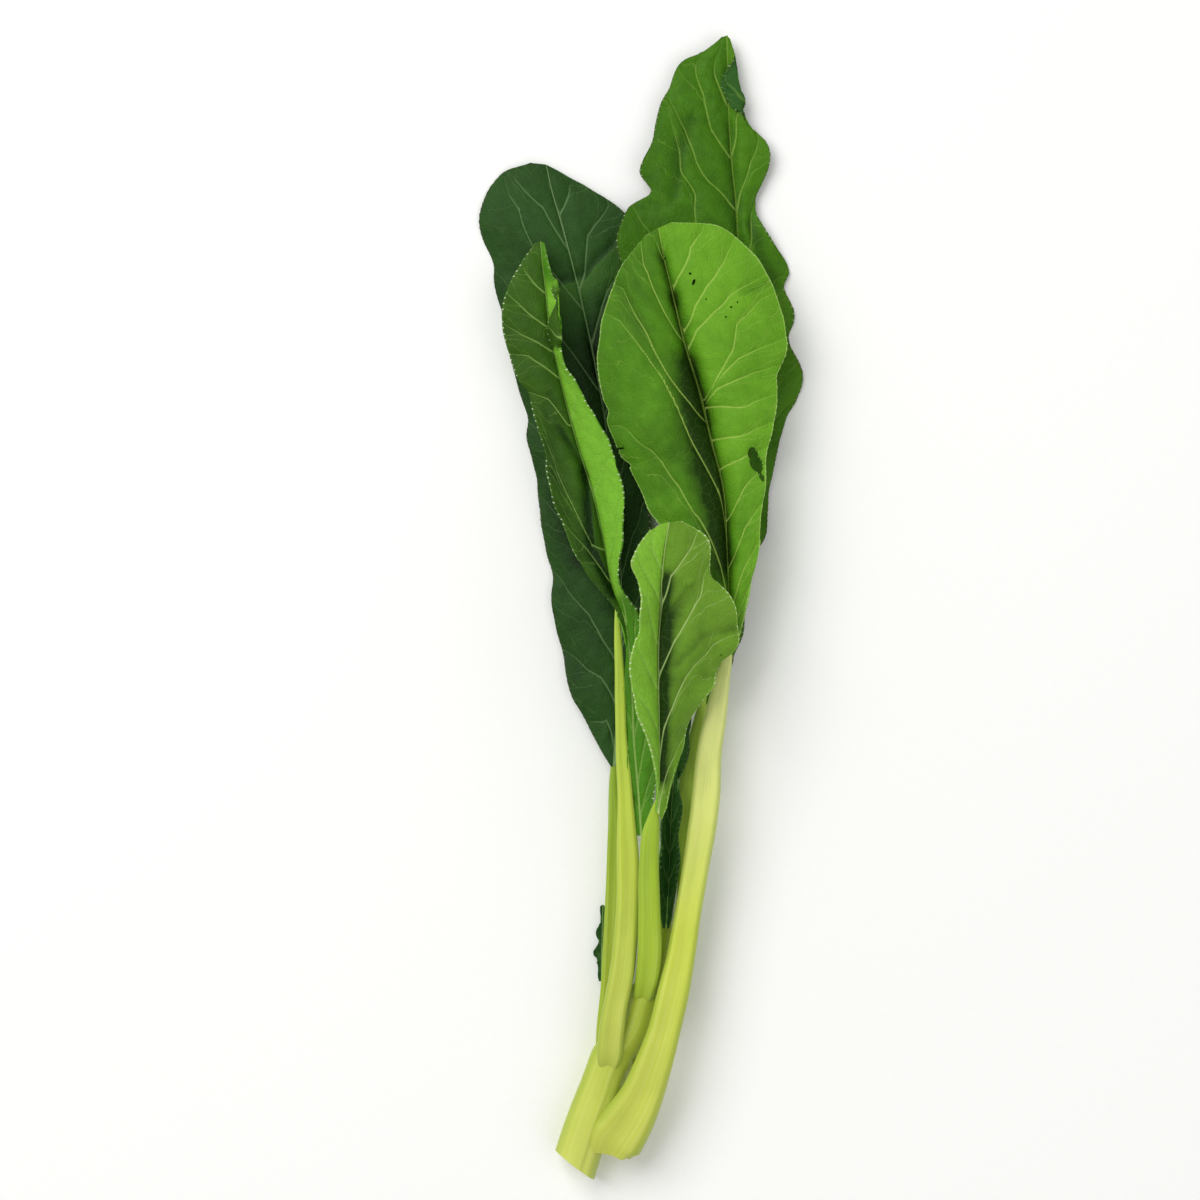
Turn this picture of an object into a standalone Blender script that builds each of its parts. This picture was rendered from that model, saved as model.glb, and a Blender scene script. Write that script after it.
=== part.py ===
"""Choy sum: one cut plant lying on its side, with a fleshy stem, five stalked leaves and a young shoot.

Sizes below are in millimetres and are turned into metres when a mesh is made. +Z is up. The plant lies
along Y, with its cut end at -Y and its leaf tips at +Y, and its best side faces +Z. The origin is under the
middle of the plant, on the surface that it lies on.
"""

import math

import bmesh
import bpy
import numpy as np

MM = 0.001
ORIGIN = (-0.7, 0.2)  # middle of the plant in the drawing's own X and Y

GAP = 0.3  # clearance between neighbouring pieces
BLADE = 0.7  # thickness of a leaf blade

# The stem, from the cut end to the tip of the shoot: X, Y and height of its middle, and its diameter.
STEM = [
    (-20.0, -161.5, 6.2, 13.4),
    (-17.0, -152.0, 6.1, 13.2),
    (-13.0, -141.0, 5.7, 12.6),
    (-9.2, -131.0, 5.8, 11.6),
    (-3.0, -122.5, 6.0, 9.6),
    (0.0, -113.5, 6.5, 8.4),
    (3.5, -103.5, 6.5, 6.2),
    (6.0, -87.5, 6.5, 4.6),
    (7.0, -70.0, 6.5, 3.6),
    (7.0, -56.0, 6.5, 2.4),
]
CUT_SLANT = math.radians(27)  # the knife went through the stem at this angle off square
STEM_JOINTS = (-130.5, -112.5)  # Y of the swollen joints where stalks leave
JOINT_SWELL = 0.5
STEM_SIDES = 16
FLAT_UNDER = 0.8  # what is lower than this on the stem is pressed flat onto the surface

# Leaf stalks, from the stem to the blade: X, Y and height of the middle, and the width.
STALKS = {
    "a": [
        (-12.0, -139.0, 6.0, 6.0),
        (-10.0, -132.0, 9.5, 7.4),
        (-9.5, -124.0, 12.0, 7.5),
        (-8.5, -116.5, 12.5, 7.2),
        (-6.5, -105.5, 12.5, 7.0),
        (-5.0, -89.5, 12.5, 6.4),
        (-5.0, -73.0, 12.5, 5.8),
        (-5.5, -53.5, 12.3, 4.3),
        (-6.5, -39.0, 12.2, 3.5),
        (-7.0, -20.5, 12.3, 2.9),
        (-7.7, -6.0, 12.4, 2.0),
    ],
    "b": [
        (-1.0, -118.5, 6.5, 5.0),
        (-0.5, -115.0, 9.5, 6.0),
        (0.5, -110.0, 12.0, 6.6),
        (1.5, -101.5, 15.0, 7.0),
        (1.5, -89.5, 18.0, 6.4),
        (1.5, -73.0, 22.0, 5.5),
        (2.0, -65.0, 24.0, 4.6),
        (3.0, -58.4, 25.6, 2.6),
    ],
    "c": [
        (-9.8, -157.8, 8.4, 12.6),
        (-8.2, -154.6, 9.4, 15.8),
        (-6.3, -151.3, 10.2, 15.9),
        (-3.8, -147.4, 11.2, 14.6),
        (-1.2, -142.5, 12.2, 12.8),
        (2.3, -133.5, 13.5, 11.0),
        (5.5, -123.5, 14.0, 9.6),
        (8.0, -113.5, 14.0, 9.3),
        (10.5, -101.5, 14.0, 8.3),
        (12.5, -89.5, 14.0, 7.8),
        (14.0, -77.0, 14.5, 7.5),
        (17.5, -53.5, 15.5, 7.3),
        (19.5, -42.5, 16.0, 6.6),
        (21.2, -31.5, 16.2, 5.6),
        (22.6, -20.5, 16.0, 4.4),
        (24.1, -14.3, 15.7, 2.6),
    ],
    "d": [
        (-11.5, -134.5, 5.0, 5.0),
        (-11.2, -125.5, 5.0, 5.4),
        (-10.0, -109.5, 5.0, 5.2),
        (-9.5, -97.5, 5.0, 4.9),
        (-9.0, -81.0, 5.0, 4.3),
        (-8.6, -65.0, 5.2, 3.8),
        (-8.7, -46.8, 5.0, 2.0),
    ],
    "e": [
        (-5.0, -133.0, 5.0, 5.0),
        (1.5, -126.0, 4.6, 5.4),
        (7.0, -114.0, 4.5, 5.2),
        (10.5, -98.0, 4.5, 4.8),
        (12.0, -79.0, 4.5, 4.3),
        (12.8, -57.5, 5.0, 4.1),
        (14.0, -42.5, 5.5, 3.6),
        (16.9, -29.0, 6.0, 2.2),
    ],
}
STALK_SIDES = 14
STALK_DEPTH = 0.72  # height of a stalk's section as a share of its width
GROOVE = 0.16  # depth of the channel along the upper side, as a share of the width

# Blades. Each station is a cut across the leaf, from the stalk to the tip: the left margin, the midrib and
# the right margin, each as X, Y and height. "lift" is how far each half rises between midrib and margin,
# "wave" is the height and number of the margin's ruffles, and "rib" is how deep the midrib is at the stalk.
BLADES = {
    "a": {
        "stations": [
            ((-1.4, -66.0, 12.6), (-0.8, -66.0, 12.6), (0.1, -66.5, 12.6)),
            ((-2.2, -54.0, 12.6), (-1.6, -54.0, 12.6), (3.0, -53.0, 13.0)),
            ((-3.6, -39.0, 12.6), (-2.9, -39.0, 12.6), (5.0, -37.0, 13.0)),
            ((-4.4, -21.0, 12.7), (-3.7, -21.0, 12.7), (3.0, -18.5, 13.0)),
            ((-6.0, -5.0, 13.6), (-5.2, -5.0, 13.0), (-1.5, -4.0, 15.0)),
            ((-16.5, 10.0, 13.6), (-9.5, 7.0, 13.0), (-7.6, 9.0, 19.0)),
            ((-23.5, 24.0, 13.0), (-12.0, 20.5, 12.0), (-6.0, 22.0, 20.0)),
            ((-27.5, 37.0, 12.5), (-15.0, 33.5, 11.5), (-6.5, 35.0, 20.0)),
            ((-30.0, 51.0, 12.0), (-19.5, 48.0, 11.0), (-10.5, 48.5, 20.0)),
            ((-33.5, 61.0, 11.5), (-23.0, 61.0, 11.0), (-17.5, 60.5, 19.0)),
            ((-37.5, 69.5, 11.0), (-25.5, 72.0, 11.0), (-24.0, 72.5, 18.0)),
            ((-41.0, 82.0, 11.0), (-27.5, 82.0, 11.0), (-24.0, 83.5, 17.0)),
            ((-39.5, 92.0, 10.5), (-28.5, 92.0, 10.5), (-25.0, 92.0, 15.0)),
            ((-35.5, 100.5, 10.0), (-29.5, 100.5, 10.0), (-27.5, 98.5, 13.0)),
            ((-31.5, 106.0, 9.5), (-30.0, 106.5, 9.5), (-29.0, 106.0, 10.0)),
        ],
        "lift": (1.6, 0.3),
        "wave": (0.8, 9),
        "rib": 1.2,
    },
    "b": {
        "stations": [
            ((3.6, -56.2, 27.0), (4.4, -56.2, 27.0), (6.2, -58.8, 27.0)),
            ((3.5, -47.5, 30.0), (4.3, -47.0, 27.5), (8.5, -48.5, 29.0)),
            ((0.5, -36.0, 34.0), (4.2, -35.5, 27.5), (14.0, -33.0, 30.0)),
            ((-3.5, -24.0, 36.0), (4.0, -23.0, 27.5), (19.0, -21.5, 29.0)),
            ((-3.0, -10.0, 36.0), (4.0, -10.5, 27.5), (27.0, -8.5, 27.0)),
            ((-0.5, 2.5, 35.0), (4.5, 0.5, 28.0), (25.0, 1.5, 27.0)),
            ((-3.5, 12.0, 35.0), (5.0, 9.5, 29.0), (19.5, 11.5, 28.0)),
            ((0.5, 21.0, 33.0), (6.0, 18.5, 30.0), (17.0, 21.0, 30.0)),
            ((4.5, 24.0, 31.5), (7.0, 24.5, 31.0), (10.5, 25.0, 31.0)),
        ],
        "lift": (0.6, 3.4),
        "wave": (0.7, 6),
        "rib": 2.2,
    },
    "c": {
        "stations": [
            ((23.5, -13.5, 17.0), (24.5, -13.5, 17.0), (25.5, -13.5, 17.0)),
            ((19.5, -0.5, 18.0), (24.5, 2.5, 15.5), (29.5, 0.5, 20.0)),
            ((13.5, 13.5, 17.0), (24.0, 17.5, 14.0), (33.0, 17.5, 21.0)),
            ((1.5, 29.5, 15.0), (23.0, 34.0, 13.0), (34.5, 33.5, 20.0)),
            ((-8.0, 47.5, 14.5), (19.5, 48.5, 12.5), (36.5, 48.5, 18.0)),
            ((-13.0, 64.5, 14.0), (16.0, 63.0, 12.5), (39.0, 65.0, 16.5)),
            ((-11.5, 86.0, 14.0), (11.5, 77.5, 13.0), (41.0, 79.0, 15.0)),
            ((-6.5, 99.0, 14.0), (8.0, 92.0, 13.5), (35.5, 96.5, 14.0)),
            ((-1.0, 106.5, 14.5), (5.5, 102.5, 14.0), (21.5, 110.5, 14.5)),
            ((1.5, 109.0, 14.5), (4.0, 110.0, 14.5), (7.0, 112.0, 14.5)),
        ],
        "lift": (4.8, 4.6),
        "wave": (0.5, 6),
        "rib": 2.6,
    },
    "d": {
        "stations": [
            ((-9.5, -46.1, 6.0), (-8.6, -45.9, 6.0), (-7.8, -46.1, 6.0)),
            ((-14.5, -38.5, 5.0), (-8.0, -34.0, 5.5), (-3.5, -35.5, 6.0)),
            ((-21.0, -24.0, 4.0), (-7.0, -19.5, 5.0), (-1.0, -21.0, 6.0)),
            ((-25.5, -5.0, 3.0), (-6.5, -3.5, 4.5), (0.0, -5.0, 6.0)),
            ((-28.5, 17.0, 2.5), (-7.0, 15.5, 4.0), (1.0, 14.0, 5.5)),
            ((-31.5, 37.0, 2.0), (-9.0, 35.5, 3.5), (1.0, 34.0, 5.0)),
            ((-35.0, 57.5, 1.5), (-11.5, 56.0, 3.0), (0.0, 54.5, 4.5)),
            ((-39.5, 77.5, 1.0), (-15.0, 75.0, 3.0), (-1.0, 75.0, 4.0)),
            ((-44.0, 98.0, 0.7), (-19.5, 95.0, 3.0), (-3.0, 96.5, 3.0)),
            ((-47.5, 115.5, 0.7), (-24.0, 112.0, 3.0), (-6.0, 115.5, 2.6)),
            ((-42.5, 126.5, 1.0), (-27.0, 122.5, 2.5), (-16.0, 122.5, 2.4)),
            ((-33.0, 130.0, 2.0), (-28.5, 129.5, 2.0), (-25.5, 128.0, 2.0)),
        ],
        "lift": (2.0, 1.2),
        "wave": (0.5, 8),
        "rib": 2.4,
    },
    "e": {
        "stations": [
            ((15.7, -28.2, 7.0), (17.0, -28.4, 7.0), (18.2, -28.2, 7.0)),
            ((13.0, -12.0, 7.0), (19.5, -13.5, 6.5), (27.5, -12.0, 7.0)),
            ((11.0, 8.0, 7.0), (22.0, 5.0, 6.0), (30.5, 9.0, 6.0)),
            ((10.0, 22.0, 7.0), (23.3, 19.0, 5.7), (34.5, 20.5, 4.5)),
            ((9.0, 34.0, 7.0), (24.4, 32.0, 5.4), (37.2, 33.5, 3.5)),
            ((8.0, 46.0, 7.0), (25.2, 44.0, 5.0), (38.5, 45.5, 2.0)),
            ((6.0, 56.0, 7.0), (25.9, 54.0, 4.8), (42.0, 54.0, 1.2)),
            ((4.0, 66.0, 7.0), (26.5, 64.0, 4.6), (45.8, 66.5, 0.8)),
            ((1.0, 78.0, 7.0), (27.0, 75.0, 4.3), (43.0, 78.0, 0.8)),
            ((-2.5, 88.0, 7.2), (27.4, 84.0, 4.0), (43.3, 86.0, 0.8)),
            ((-4.5, 96.0, 7.2), (27.5, 92.0, 3.7), (40.8, 93.5, 1.2)),
            ((-7.2, 103.0, 7.2), (27.5, 99.0, 3.5), (43.0, 99.0, 1.5)),
            ((-7.0, 111.0, 7.0), (27.5, 106.5, 3.3), (37.5, 106.5, 2.2)),
            ((-3.5, 117.8, 6.6), (27.2, 113.0, 3.2), (33.2, 114.5, 3.0)),
            ((1.8, 121.3, 5.6), (26.8, 119.5, 3.1), (33.3, 119.5, 3.0)),
            ((-0.7, 127.5, 5.0), (26.1, 126.0, 3.0), (36.2, 128.0, 3.0)),
            ((1.8, 135.5, 5.0), (25.4, 134.0, 3.0), (35.6, 136.0, 3.8)),
            ((4.4, 143.8, 4.6), (24.9, 142.0, 3.0), (30.0, 143.0, 5.0)),
            ((7.0, 150.5, 4.0), (24.6, 150.0, 3.2), (28.2, 151.5, 5.0)),
            ((10.5, 159.2, 4.0), (24.4, 157.5, 3.5), (27.0, 159.0, 5.0)),
            ((17.5, 162.4, 4.0), (24.3, 163.0, 3.8), (26.0, 163.5, 4.4)),
            ((23.0, 166.5, 4.0), (24.2, 167.0, 4.0), (25.2, 166.0, 4.0)),
        ],
        "lift": (1.6, 1.6),
        "wave": (0.6, 9),
        "rib": 2.4,
    },
}
YOUNG = {
    "shoot_leaf_1": {
        "stations": [
            ((5.6, -93.0, 10.7), (6.4, -93.0, 10.5), (7.2, -93.0, 10.7)),
            ((4.6, -80.0, 13.0), (7.2, -80.0, 10.0), (9.2, -80.0, 12.5)),
            ((4.8, -68.0, 14.0), (7.6, -68.0, 9.8), (9.8, -68.0, 12.5)),
            ((6.0, -58.0, 13.0), (8.0, -58.0, 9.8), (10.4, -58.0, 12.0)),
            ((7.8, -51.0, 10.8), (8.4, -50.5, 10.6), (9.0, -51.0, 10.8)),
        ],
        "lift": (0.2, 0.2),
        "wave": (0.5, 5),
        "rib": 1.2,
    },
    "shoot_leaf_2": {
        "stations": [
            ((6.2, -55.4, 7.6), (7.0, -55.4, 7.2), (7.8, -55.4, 7.6)),
            ((5.6, -46.0, 10.0), (8.4, -46.0, 7.4), (11.6, -46.0, 11.0)),
            ((6.6, -36.0, 10.2), (9.4, -36.0, 7.8), (13.0, -36.0, 12.0)),
            ((8.0, -28.0, 10.4), (10.4, -27.0, 8.4), (12.8, -28.0, 11.5)),
            ((10.3, -21.6, 10.2), (10.9, -21.0, 10.0), (11.5, -21.6, 10.2)),
        ],
        "lift": (0.2, 0.2),
        "wave": (0.5, 5),
        "rib": 1.2,
    },
    "small_leaf": {
        "stations": [
            ((-13.2, -119.5, 2.6), (-12.2, -119.5, 2.6), (-11.2, -119.5, 2.6)),
            ((-14.2, -112.0, 2.6), (-12.2, -112.0, 2.65), (-10.8, -112.0, 2.6)),
            ((-14.6, -102.0, 2.6), (-12.2, -102.0, 2.65), (-10.6, -102.0, 2.6)),
            ((-14.2, -93.0, 2.6), (-12.0, -93.0, 2.65), (-10.6, -93.0, 2.6)),
            ((-12.6, -87.0, 2.65), (-11.9, -86.6, 2.65), (-11.4, -87.0, 2.65)),
        ],
        "lift": (0.1, 0.1),
        "wave": (0.15, 7),
        "rib": 0.8,
    },
}
FULL_LIFT_WIDTH = 8.0  # a half narrower than this bulges less
BLADE_ROWS = 44
YOUNG_ROWS = 14
ACROSS = (0.08, 0.24, 0.48, 0.74, 1.0)  # columns of each half, as shares of the way from midrib to margin
YOUNG_ACROSS = (0.3, 1.0)

COLOURS = {
    "stem": (0.42, 0.52, 0.10),
    "stalk": (0.55, 0.66, 0.12),
    "a": (0.06, 0.19, 0.015),
    "b": (0.15, 0.32, 0.035),
    "c": (0.16, 0.36, 0.035),
    "d": (0.03, 0.10, 0.02),
    "e": (0.07, 0.22, 0.015),
    "young": (0.04, 0.14, 0.02),
}


def clear_scene():
    for obj in list(bpy.data.objects):
        bpy.data.objects.remove(obj)


def plant_material(name, colour, roughness):
    material = bpy.data.materials.new(name)
    material.use_nodes = True
    shader = material.node_tree.nodes["Principled BSDF"]
    shader.inputs["Base Color"].default_value = (*colour, 1.0)
    shader.inputs["Roughness"].default_value = roughness
    shader.inputs["Metallic"].default_value = 0.0
    return material


def curve_through(knots, points, at):
    """Smooth curve through points given at the knots, read at each value of at."""
    knots = np.asarray(knots, float)
    points = np.asarray(points, float)
    slopes = np.gradient(points, knots, axis=0)
    piece = np.clip(np.searchsorted(knots, at, side="right") - 1, 0, len(knots) - 2)
    width = knots[piece + 1] - knots[piece]
    u = ((at - knots[piece]) / width)[:, None]
    width = width[:, None]
    start, end = points[piece], points[piece + 1]
    return (
        (2 * u**3 - 3 * u**2 + 1) * start
        + (u**3 - 2 * u**2 + u) * width * slopes[piece]
        + (3 * u**2 - 2 * u**3) * end
        + (u**3 - u**2) * width * slopes[piece + 1]
    )


def chord_knots(points):
    """0 to 1 along the points, by the distance between them."""
    steps = np.linalg.norm(np.diff(np.asarray(points, float), axis=0), axis=-1)
    steps = steps.reshape(len(steps), -1).mean(axis=1)
    along = np.concatenate([[0.0], np.cumsum(steps)])
    return along / along[-1]


def make_object(name, points, faces, material, smooth_angle=None):
    mesh = bpy.data.meshes.new(name)
    placed = (np.asarray(points, float) - (*ORIGIN, 0.0)) * MM
    mesh.from_pydata([tuple(p) for p in placed], [], faces)
    mesh.validate()
    mesh.materials.append(material)
    form = bmesh.new()
    form.from_mesh(mesh)
    bmesh.ops.recalc_face_normals(form, faces=form.faces)
    bmesh.ops.triangulate(form, faces=form.faces)
    form.to_mesh(mesh)
    form.free()
    if smooth_angle is not None:
        mesh.shade_smooth()
        mesh.set_sharp_from_angle(angle=smooth_angle)
    obj = bpy.data.objects.new(name, mesh)
    bpy.context.scene.collection.objects.link(obj)
    return obj


def tube_faces(rings, sides):
    """Faces of a tube of rings, closed by a fan at each end. The two fan centres are the last points."""
    faces = []
    for ring in range(rings - 1):
        for side in range(sides):
            near = ring * sides + side
            far = ring * sides + (side + 1) % sides
            faces.append((near, far, far + sides, near + sides))
    first, last = rings * sides, rings * sides + 1
    for side in range(sides):
        after = (side + 1) % sides
        faces.append((first, after, side))
        faces.append((last, (rings - 1) * sides + side, (rings - 1) * sides + after))
    return faces


def frames_along(centres):
    """Unit directions forwards, sideways (level) and upwards for each centre."""
    forward = np.gradient(centres, axis=0)
    forward /= np.linalg.norm(forward, axis=1, keepdims=True)
    side = np.cross(forward, (0.0, 0.0, 1.0))
    side /= np.linalg.norm(side, axis=1, keepdims=True)
    return forward, side, np.cross(side, forward)


def stem_points(grow):
    """The stem's rings, made fatter all round by grow."""
    count = 34
    at = np.linspace(0.0, 1.0, count)
    route = curve_through(chord_knots([s[:3] for s in STEM]), STEM, at)
    centres, diameters = route[:, :3], route[:, 3]
    swell = sum(JOINT_SWELL * np.exp(-(((centres[:, 1] - y) / 3.0) ** 2)) for y in STEM_JOINTS)
    forward, side, up = frames_along(centres)
    angles = (np.arange(STEM_SIDES) + 0.5) * 2 * math.pi / STEM_SIDES
    rings = []
    for i in range(count):
        radius = diameters[i] / 2 + swell[i] + grow
        across = np.cos(angles)[:, None] * side[i] + np.sin(angles)[:, None] * up[i]
        ring = centres[i] + radius * across
        if i == 0:
            # The cut slants: the right side is longer than the left one.
            ring = ring - forward[i] * (math.tan(CUT_SLANT) * radius * np.cos(angles))[:, None]
            ring = ring - forward[i] * grow
        rings.append(ring)
    rings = np.array(rings)
    if grow == 0:
        low = (rings[:, :, 2] < FLAT_UNDER) & (rings[:, :, 1] < -133.0)
        rings[:, :, 2] = np.where(low, 0.0, np.maximum(rings[:, :, 2], 0.0))
    ends = [rings[0].mean(axis=0), rings[-1].mean(axis=0)]
    return np.concatenate([rings.reshape(-1, 3), ends]), tube_faces(count, STEM_SIDES)


def stalk_points(route):
    """A fleshy leaf stalk: rounded below, with a shallow channel along its upper side."""
    count = max(12, 2 * len(route))
    spots = [r[:3] for r in route]
    line = curve_through(chord_knots(spots), route, np.linspace(0.0, 1.0, count))
    centres, widths = line[:, :3], line[:, 3]
    side, up = frames_along(centres)[1:]
    angles = (np.arange(STALK_SIDES) + 0.5) * 2 * math.pi / STALK_SIDES
    across = np.cos(angles) / 2
    height = STALK_DEPTH * np.sin(angles) / 2
    height = height - GROOVE * np.maximum(np.sin(angles), 0.0) ** 6
    rings = (
        centres[:, None]
        + (widths[:, None] * across)[:, :, None] * side[:, None]
        + (widths[:, None] * height)[:, :, None] * up[:, None]
    )
    ends = [rings[0].mean(axis=0), rings[-1].mean(axis=0)]
    return np.concatenate([rings.reshape(-1, 3), ends]), tube_faces(count, STALK_SIDES)


def blade_points(leaf, rows, across):
    """A leaf blade as a closed thin solid: its upper face, its lower face and the rim between them."""
    stations = np.array(leaf["stations"])
    along = np.linspace(0.0, 1.0, rows)
    rails = curve_through(chord_knots(stations), stations.reshape(len(stations), 9), along)
    left, midrib, right = rails[:, 0:3], rails[:, 3:6], rails[:, 6:9]
    body = np.sin(math.pi * np.clip(along, 0.02, 0.98)) ** 0.6
    height, waves = leaf["wave"]
    columns = [(left, -q) for q in reversed(across)] + [(midrib, 0.0)] + [(right, q) for q in across]
    upper = np.zeros((rows, len(columns), 3))
    depth = np.zeros((rows, len(columns)))
    for j, (margin, signed) in enumerate(columns):
        q = abs(signed)
        lift = leaf["lift"][0 if signed < 0 else 1]
        upper[:, j] = midrib + (margin - midrib) * q
        ripple = np.sin(2 * math.pi * waves * along + (1.3 if signed < 0 else 0.0))
        outward = margin - midrib
        spread = np.maximum(np.linalg.norm(outward, axis=1), 0.01)
        open_wide = np.minimum(spread / FULL_LIFT_WIDTH, 1.0)
        bulge = open_wide * lift * body * math.sin(math.pi * q**0.6)
        upper[:, j, 2] += bulge + height * body * ripple * q**3
        upper[:, j, :2] += outward[:, :2] / spread[:, None] * (0.5 * body * ripple * q**4)[:, None]
        rib = leaf["rib"] * (1.0 - along) ** 0.8
        near = np.clip(1.0 - (q * spread / (0.9 * leaf["rib"])) ** 2, 0.0, 1.0)
        depth[:, j] = BLADE + np.maximum(rib - BLADE, 0.0) * near
    upper[:, :, 2] = np.maximum(upper[:, :, 2], BLADE)
    run = np.gradient(upper, axis=0)
    over = np.gradient(upper, axis=1)
    normals = np.cross(over, run)
    normals /= np.linalg.norm(normals, axis=2, keepdims=True)
    lower = upper - normals * depth[:, :, None]
    lower[:, :, 2] = np.maximum(lower[:, :, 2], 0.0)
    count = rows * len(columns)
    wide = len(columns)

    def corner(i, j, level):
        return level * count + i * wide + j

    faces = []
    for level in (0, 1):
        for i in range(rows - 1):
            for j in range(wide - 1):
                a, b = corner(i, j, level), corner(i, j + 1, level)
                c, d = corner(i + 1, j + 1, level), corner(i + 1, j, level)
                faces += [(a, b, c), (a, c, d)] if level == 0 else [(a, c, b), (a, d, c)]
    for i in range(rows - 1):
        faces.append((corner(i, 0, 0), corner(i + 1, 0, 0), corner(i + 1, 0, 1), corner(i, 0, 1)))
        j = wide - 1
        faces.append((corner(i, j, 0), corner(i, j, 1), corner(i + 1, j, 1), corner(i + 1, j, 0)))
    for j in range(wide - 1):
        faces.append((corner(0, j, 0), corner(0, j, 1), corner(0, j + 1, 1), corner(0, j + 1, 0)))
        i = rows - 1
        faces.append((corner(i, j, 0), corner(i, j + 1, 0), corner(i, j + 1, 1), corner(i, j, 1)))
    return np.concatenate([upper.reshape(-1, 3), lower.reshape(-1, 3)]), faces


def make_stem():
    points, faces = stem_points(0.0)
    material = plant_material("stem_flesh", COLOURS["stem"], 0.45)
    return make_object("stem", points, faces, material, math.radians(40))


def make_stem_clearance():
    """The stem made a gap's width fatter, which shapes the foot of each stalk."""
    points, faces = stem_points(GAP)
    material = plant_material("clearance", COLOURS["stem"], 0.5)
    cutter = make_object("stem_clearance", points, faces, material)
    cutter.hide_render = True
    cutter.display_type = "WIRE"
    return cutter


def make_stalks(cutter):
    material = plant_material("stalk_flesh", COLOURS["stalk"], 0.42)
    for letter, route in STALKS.items():
        points, faces = stalk_points(route)
        stalk = make_object("stalk_" + letter, points, faces, material, math.radians(40))
        foot = stalk.modifiers.new("foot", "BOOLEAN")
        foot.operation = "DIFFERENCE"
        foot.object = cutter


def make_blades():
    for letter, leaf in BLADES.items():
        points, faces = blade_points(leaf, BLADE_ROWS, ACROSS)
        material = plant_material("leaf_" + letter, COLOURS[letter], 0.5)
        make_object("blade_" + letter, points, faces, material, math.radians(60))


def make_young_leaves():
    material = plant_material("young_leaf", COLOURS["young"], 0.5)
    for name, leaf in YOUNG.items():
        points, faces = blade_points(leaf, YOUNG_ROWS, YOUNG_ACROSS)
        make_object(name, points, faces, material, math.radians(60))


clear_scene()
make_stem()
make_stalks(make_stem_clearance())
make_blades()
make_young_leaves()
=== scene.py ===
import math
from functools import partial
from types import SimpleNamespace

import bpy
import numpy as np
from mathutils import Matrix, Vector


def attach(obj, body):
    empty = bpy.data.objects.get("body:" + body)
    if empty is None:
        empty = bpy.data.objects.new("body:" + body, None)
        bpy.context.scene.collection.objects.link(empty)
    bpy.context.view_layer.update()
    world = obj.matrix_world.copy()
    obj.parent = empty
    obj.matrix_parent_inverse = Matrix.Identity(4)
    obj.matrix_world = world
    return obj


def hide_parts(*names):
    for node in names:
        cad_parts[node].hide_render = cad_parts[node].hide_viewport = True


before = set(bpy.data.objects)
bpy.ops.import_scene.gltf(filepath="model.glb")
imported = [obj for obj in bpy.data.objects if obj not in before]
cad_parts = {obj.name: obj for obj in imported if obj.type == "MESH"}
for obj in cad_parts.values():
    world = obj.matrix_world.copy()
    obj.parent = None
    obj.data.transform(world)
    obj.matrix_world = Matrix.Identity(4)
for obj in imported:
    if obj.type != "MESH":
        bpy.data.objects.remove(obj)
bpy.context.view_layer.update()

# The looks of one plant of choy sum, lying on a white surface and seen from straight above. Sizes are in
# millimetres in the drawing's own axes, and place() turns them into metres in the part's frame. +Y runs
# from the cut end to the leaf tips, +X is to the right and +Z is up.

MM = 0.001
ORIGIN = (-0.7, 0.2)  # middle of the plant in the drawing's own X and Y

# The stem, from the cut end to the tip of the shoot: X, Y and height of its middle, and its diameter.
STEM = [
    (-20, -161.5, 6.2, 13.4),
    (-17, -152, 6.1, 13.2),
    (-13, -141, 5.7, 12.6),
    (-9.2, -131, 5.8, 11.6),
    (-3, -122.5, 6, 9.6),
    (0, -113.5, 6.5, 8.4),
    (3.5, -103.5, 6.5, 6.2),
    (6, -87.5, 6.5, 4.6),
    (7, -70, 6.5, 3.6),
    (7, -56, 6.5, 2.4),
]
CUT_SLANT = math.radians(27)  # the knife went through the stem at this angle off square
STEM_JOINTS = (-130.5, -112.5)  # Y of the swollen joints where stalks leave
JOINT_SWELL = 0.5
JOINT_REACH = 3.0  # how far the swelling reaches to each side
JOINT_CREASE = (0.25, 2.4, 0.7)  # depth of the crease beyond a joint, how far beyond, and its reach
STEM_RIBS = (0.04, 9)  # height and number
STEM_FURROW = (0.35, 1.15, 0.12)  # along the lower stem: depth, and angle and reach round the stem
FLAT_UNDER = 0.8  # what is lower than this on the stem is pressed flat onto the surface,
FLAT_TO = -133.0  # as far up as this Y

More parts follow.
